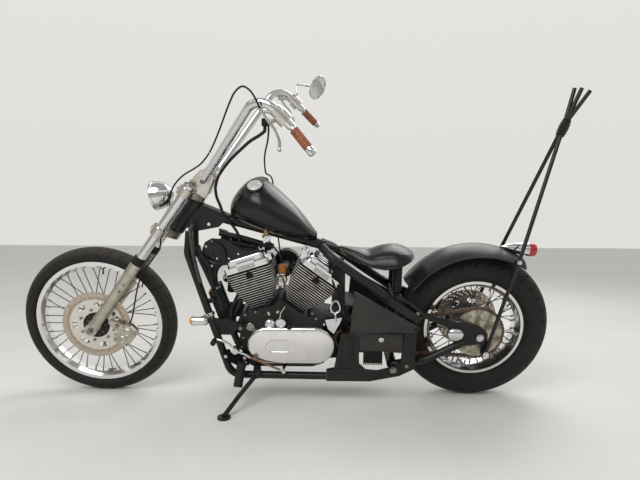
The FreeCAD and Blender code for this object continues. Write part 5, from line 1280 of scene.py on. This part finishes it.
fitting("coolant_hoses", "root", "rubber", [
    (tube, [
        (1116, 34, 500), (1124, 36, 540), (1118, 40, 590), (1092, 44, 622), (1060, 40, 628), (1020, 34, 640),
    ], 15, 20),
    (tube, [
        (1180, 52, 700), (1172, 60, 668), (1150, 66, 640), (1136, 62, 612), (1130, 56, 560), (1124, 48, 506),
    ], 9, 14),
    (tube, [(1060, 46, 340), (1044, 60, 380), (1026, 66, 420), (1012, 62, 452), (1000, 40, 470)], 13, 16),
    (tube, [(1030, 80, 330), (1044, 84, 372), (1048, 84, 420), (1030, 76, 462), (1012, 60, 500)], 8, 12),
    (tube, [(905, 92, 440), (880, 100, 470), (858, 96, 492), (838, 80, 520)], 7, 12),
])
clamps = []
for spot, run, reach in (
    ((1118, 34.5, 508), (0.2, 0, 1), 15.6), ((1026, 35, 638.4), (-1, -0.15, 0.25), 15.6),
    ((1056, 49, 350), (-0.4, 0.35, 1), 13.6),
):
    place = frame_along(spot, run)
    clamps += [
        (lathe, sleeve(4, reach - 1, reach + 0.6), place, 32),
        (bolt, place @ Vector((0, reach + 2, 0)), place.to_3x3() @ AHEAD, 3.4, 9, "cap"),
    ]
fitting("hose_clamps", "root", "axle_steel", clamps)

fitting("backbone_trunk", "root", "rubber", [
    (tube, [(1098, 10, 744), (1011, 12, 726), (927, 12, 702), (868, 10, 686)], 12, 16),
    (tube, [(1096, -16, 716), (1020, -20, 700), (940, -20, 680), (884, -14, 670)], 10, 16),
    (tube, [(1090, 26, 724), (1050, 30, 708), (1000, 28, 700), (930, 26, 684)], 7, 12),
    (tube, [(1062, -18, 474), (1056, -14, 520), (1050, -10, 566), (1046, 2, 610), (1032, 10, 644)], 19, 20),
    (tube, [(1034, -30, 474), (1026, -26, 520), (1024, -22, 560), (1030, -14, 600)], 12, 16),
])
CASE_HEADS = (
    (1000, 345), (995, 306), (940, 425), (984, 412), (1003, 378), (1002, 262), (700, 420), (684, 396),
)
fitting("case_bolts", "root", "axle_steel", [
    *((bolt, (u, 104, w), LEFT, 5, 5, "cap") for u, w in CASE_HEADS),
    (lathe, [(0, 19), (7, 18), (9, 16), (9, 12), (5, 10), (5, 0)], frame_along((964, 104, 358), LEFT), 40),
])
fitting("cover_bead", "root", "frame_paint", [
    (tube, [
        (552, 141, 197), (570, 141, 198), (576, 141, 206), (575, 141, 262), (572, 141, 316), (565, 141, 325),
        (552, 141, 326), (537, 141, 325), (531, 141, 318), (530, 141, 262), (530, 141, 206), (536, 141, 198),
        (552, 141, 197),
    ], 2.4, 12),
    (lathe, [(0, 11), (2, 11), (3, 10), (3, 7), (1.5, 6.5), (1.5, 0)],
     frame_along((268, 158.2, 373), LEFT), 32),
    (bolt, (268, 159.4, 373), LEFT, 5.5, 5, "hex"),
])
finish("yellowed_alloy", (0.62, 0.56, 0.36), (0.5, 0.43, 0.24), 0.4, (0.35, 0.5), 60, (500, 0.1))
fitting("case_tags", "root", "worn_alloy", [
    (slab, tilted((884, 106, 418), 0.4), (9, 4, 15), 1.2),
    (slab, tilted((846, 106, 426), -0.7), (9, 4, 12), 1.2),
], "yellowed_alloy")

fitting("seat_harness", "root", "rubber", [
    (tube, [
        (618 + offset, 60 + aside, 640), (610 + offset, 74 + aside, 590), (592 + offset, 84 + aside, 530),
        (574 + offset * 0.6, 92 + aside, 466), (580 + offset * 0.4, 96 + aside, 420),
        (566 + offset, 96 + aside, 372), (560 + offset * 0.5, 90 + aside, 330),
    ], radius, 12)
    for offset, radius, aside in ((0, 6, 0), (14, 5, 5), (-12, 4.5, 8), (6, 4, -9))
])
fitting("battery_box", "root", "engine_black", [
    (slab, tilted((590, 0, 510)), (56, 150, 176), 6),
    (slab, tilted((566, 0, 444)), (90, 170, 10), 3),
    (slab, tilted((590, 0, 604)), (48, 24, 60), 5),
])
turned("toe_rubber", "root", "rubber", [
    (0, 8.2), (0, 10), (2, 11), (30, 11), (32, 10), (32, 0),
], frame_along((1106, 166, 322), LEFT), 24)


# Cables that run between the steering and the frame, baked in place on no body

made = fitting("tank_cable", None, "rubber", [(tube, [
    (896, 0, 1004), (893, -16, 992), (886, -45, 984), (880, -85, 966), (878, -125, 927),
    (878, -148, 882), (876, -156, 840), (872, -150, 790), (866, -130, 735), (858, -110, 680),
    (852, -100, 640), (850, -100, 612),
], 3.3, 12)])
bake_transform(made)
made = fitting("neck_loom", None, "rubber", [(tube, [
    (1086, 30, 873), (1081, 30, 856), (1076, 29, 840), (1064, 28, 818), (1048, 28.5, 796), (1030, 28.5, 772),
    (1012, 32, 738), (1010, 34, 690),
], 6, 12)])
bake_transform(made)


# Indicators, the wrapped bar behind the seat, and the plug at the left grip

glass("amber_lens", (0.95, 0.42, 0.06), 0.08)
for name, side in SIDES:
    place = frame_along((1188, 168 * side, 410), AHEAD)
    turned(f"indicator_lens_{name}", "root", "indicator_chrome", [
        (0.2, 0), (0.2, 18), (4, 18), (10, 15), (14, 9), (15.5, 0),
    ], place, 40, "amber_lens")
    turned(f"indicator_rim_{name}", "root", "indicator_chrome", [
        (-4, 20.1), (-3, 21), (1, 21), (2.4, 19.6), (2.4, 18.2), (0.2, 18.2),
    ], place, 40)
finish("tan_wire", (0.42, 0.36, 0.2), (0.2, 0.24, 0.12), 0.0, (0.35, 0.5), 30, (500, 0.1))
fitting("indicator_wires", "root", "rubber", [
    (tube, [
        (1166, 164, 392), (1156, 150, 384), (1146, 132, 396), (1150, 112, 414), (1160, 103, 430),
    ], 2.2, 8),
    (tube, [(1140, 117, 420), (1128, 120, 412), (1122, 112, 396), (1131, 99, 386)], 2.2, 8),
], "tan_wire")


def wrap_radius(share):
    """The sissy bar's wrapping: a swelling with eleven turns of strip."""
    return 15.5 + 4.5 * math.sin(math.pi * share) + 1.1 * math.sin(share * math.pi * 22)


fitting("sissy_wrap", "root", "seat_leather", [
    (tube, [(-294, 0, 1150), (-306, 0, 1183), (-318, 0, 1216)], wrap_radius, 32, 30),
], "saddle_leather")
fitting("switch_plug", "steering", "rubber", [
    (slab, tilted((851, 313, 1209)), (27, 27, 27), 2.5),
    (lathe, [(0, 0), (0, 9), (8, 9), (9, 7), (9, 0)], frame_along((851, 326, 1209), LEFT), 24),
])


# Stage: pale floor, a studio world with a bright band behind the camera, and two soft lamps

FLOOR_HALF = 9
FRONT_ENDS_AT = -0.15
BACK_BEGINS_AT = -0.3
STUDIO_STOPS = [
    (0.0, (0.5, 0.49, 0.47)), (0.1, (0.3, 0.3, 0.29)), (0.28, (0.45, 0.45, 0.44)), (0.36, (0.12, 0.13, 0.12)),
    (0.44, (0.9, 0.9, 0.88)), (0.6, (1.0, 1.0, 0.98)), (0.68, (0.28, 0.28, 0.28)), (0.86, (0.4, 0.4, 0.39)),
]
WALL_STOPS = [
    (0.0, (0.74, 0.735, 0.7)), (0.455, (0.78, 0.775, 0.75)), (0.475, (0.05, 0.07, 0.06)),
    (0.58, (0.08, 0.1, 0.09)), (0.62, (0.95, 0.95, 0.94)), (0.76, (1, 1, 1)), (0.88, (0.4, 0.4, 0.39)),
]
LAMP_SIZE = 2.5
LAMP_TARGET = Vector((0, 0, 0.5))
LAMPS = (("key", 84, (1.2, 2.6, 3.2)), ("back", 48, (-1.5, -2.2, 3.0)))


def add_world(scene):
    """A world of soft bands by height, which differ in front of the motorcycle and behind it."""
    world = bpy.data.worlds.new("studio")
    scene.world = world
    world.use_nodes = True
    tree = world.node_tree
    background = tree.nodes["Background"]
    parts = tree.nodes.new("ShaderNodeSeparateXYZ")
    tree.links.new(tree.nodes.new("ShaderNodeTexCoord").outputs["Generated"], parts.inputs["Vector"])
    studio = ramp(tree, parts.outputs["Z"], STUDIO_STOPS)
    wall = ramp(tree, parts.outputs["Z"], WALL_STOPS)
    behind = spread(tree, parts.outputs["Y"], FRONT_ENDS_AT, BACK_BEGINS_AT)
    tree.links.new(blend(tree, behind, studio, wall), background.inputs["Color"])
    background.inputs["Strength"].default_value = 1.0


def add_stage():
    scene = bpy.context.scene
    scene.view_settings.view_transform = "Standard"
    add_world(scene)
    mesh = bpy.data.meshes.new("floor")
    floor = bpy.data.objects.new("floor", mesh)
    shape = bmesh.new()
    bmesh.ops.create_grid(shape, x_segments=1, y_segments=1, size=FLOOR_HALF)
    shape.to_mesh(mesh)
    shape.free()
    mesh.materials.append(finish(
        "floor", (0.8, 0.785, 0.76), (0.74, 0.725, 0.695), 0.0, (0.45, 0.6), 1.4, (60, 0.02), mid=(0.3, 0.75),
    ))
    scene.collection.objects.link(floor)
    for name, energy, place in LAMPS:
        lamp = bpy.data.lights.new(name, "AREA")
        lamp.energy = energy
        lamp.size = LAMP_SIZE
        holder = bpy.data.objects.new(name, lamp)
        holder.location = place
        holder.rotation_euler = (LAMP_TARGET - holder.location).to_track_quat("-Z", "Y").to_euler()
        scene.collection.objects.link(holder)


add_stage()
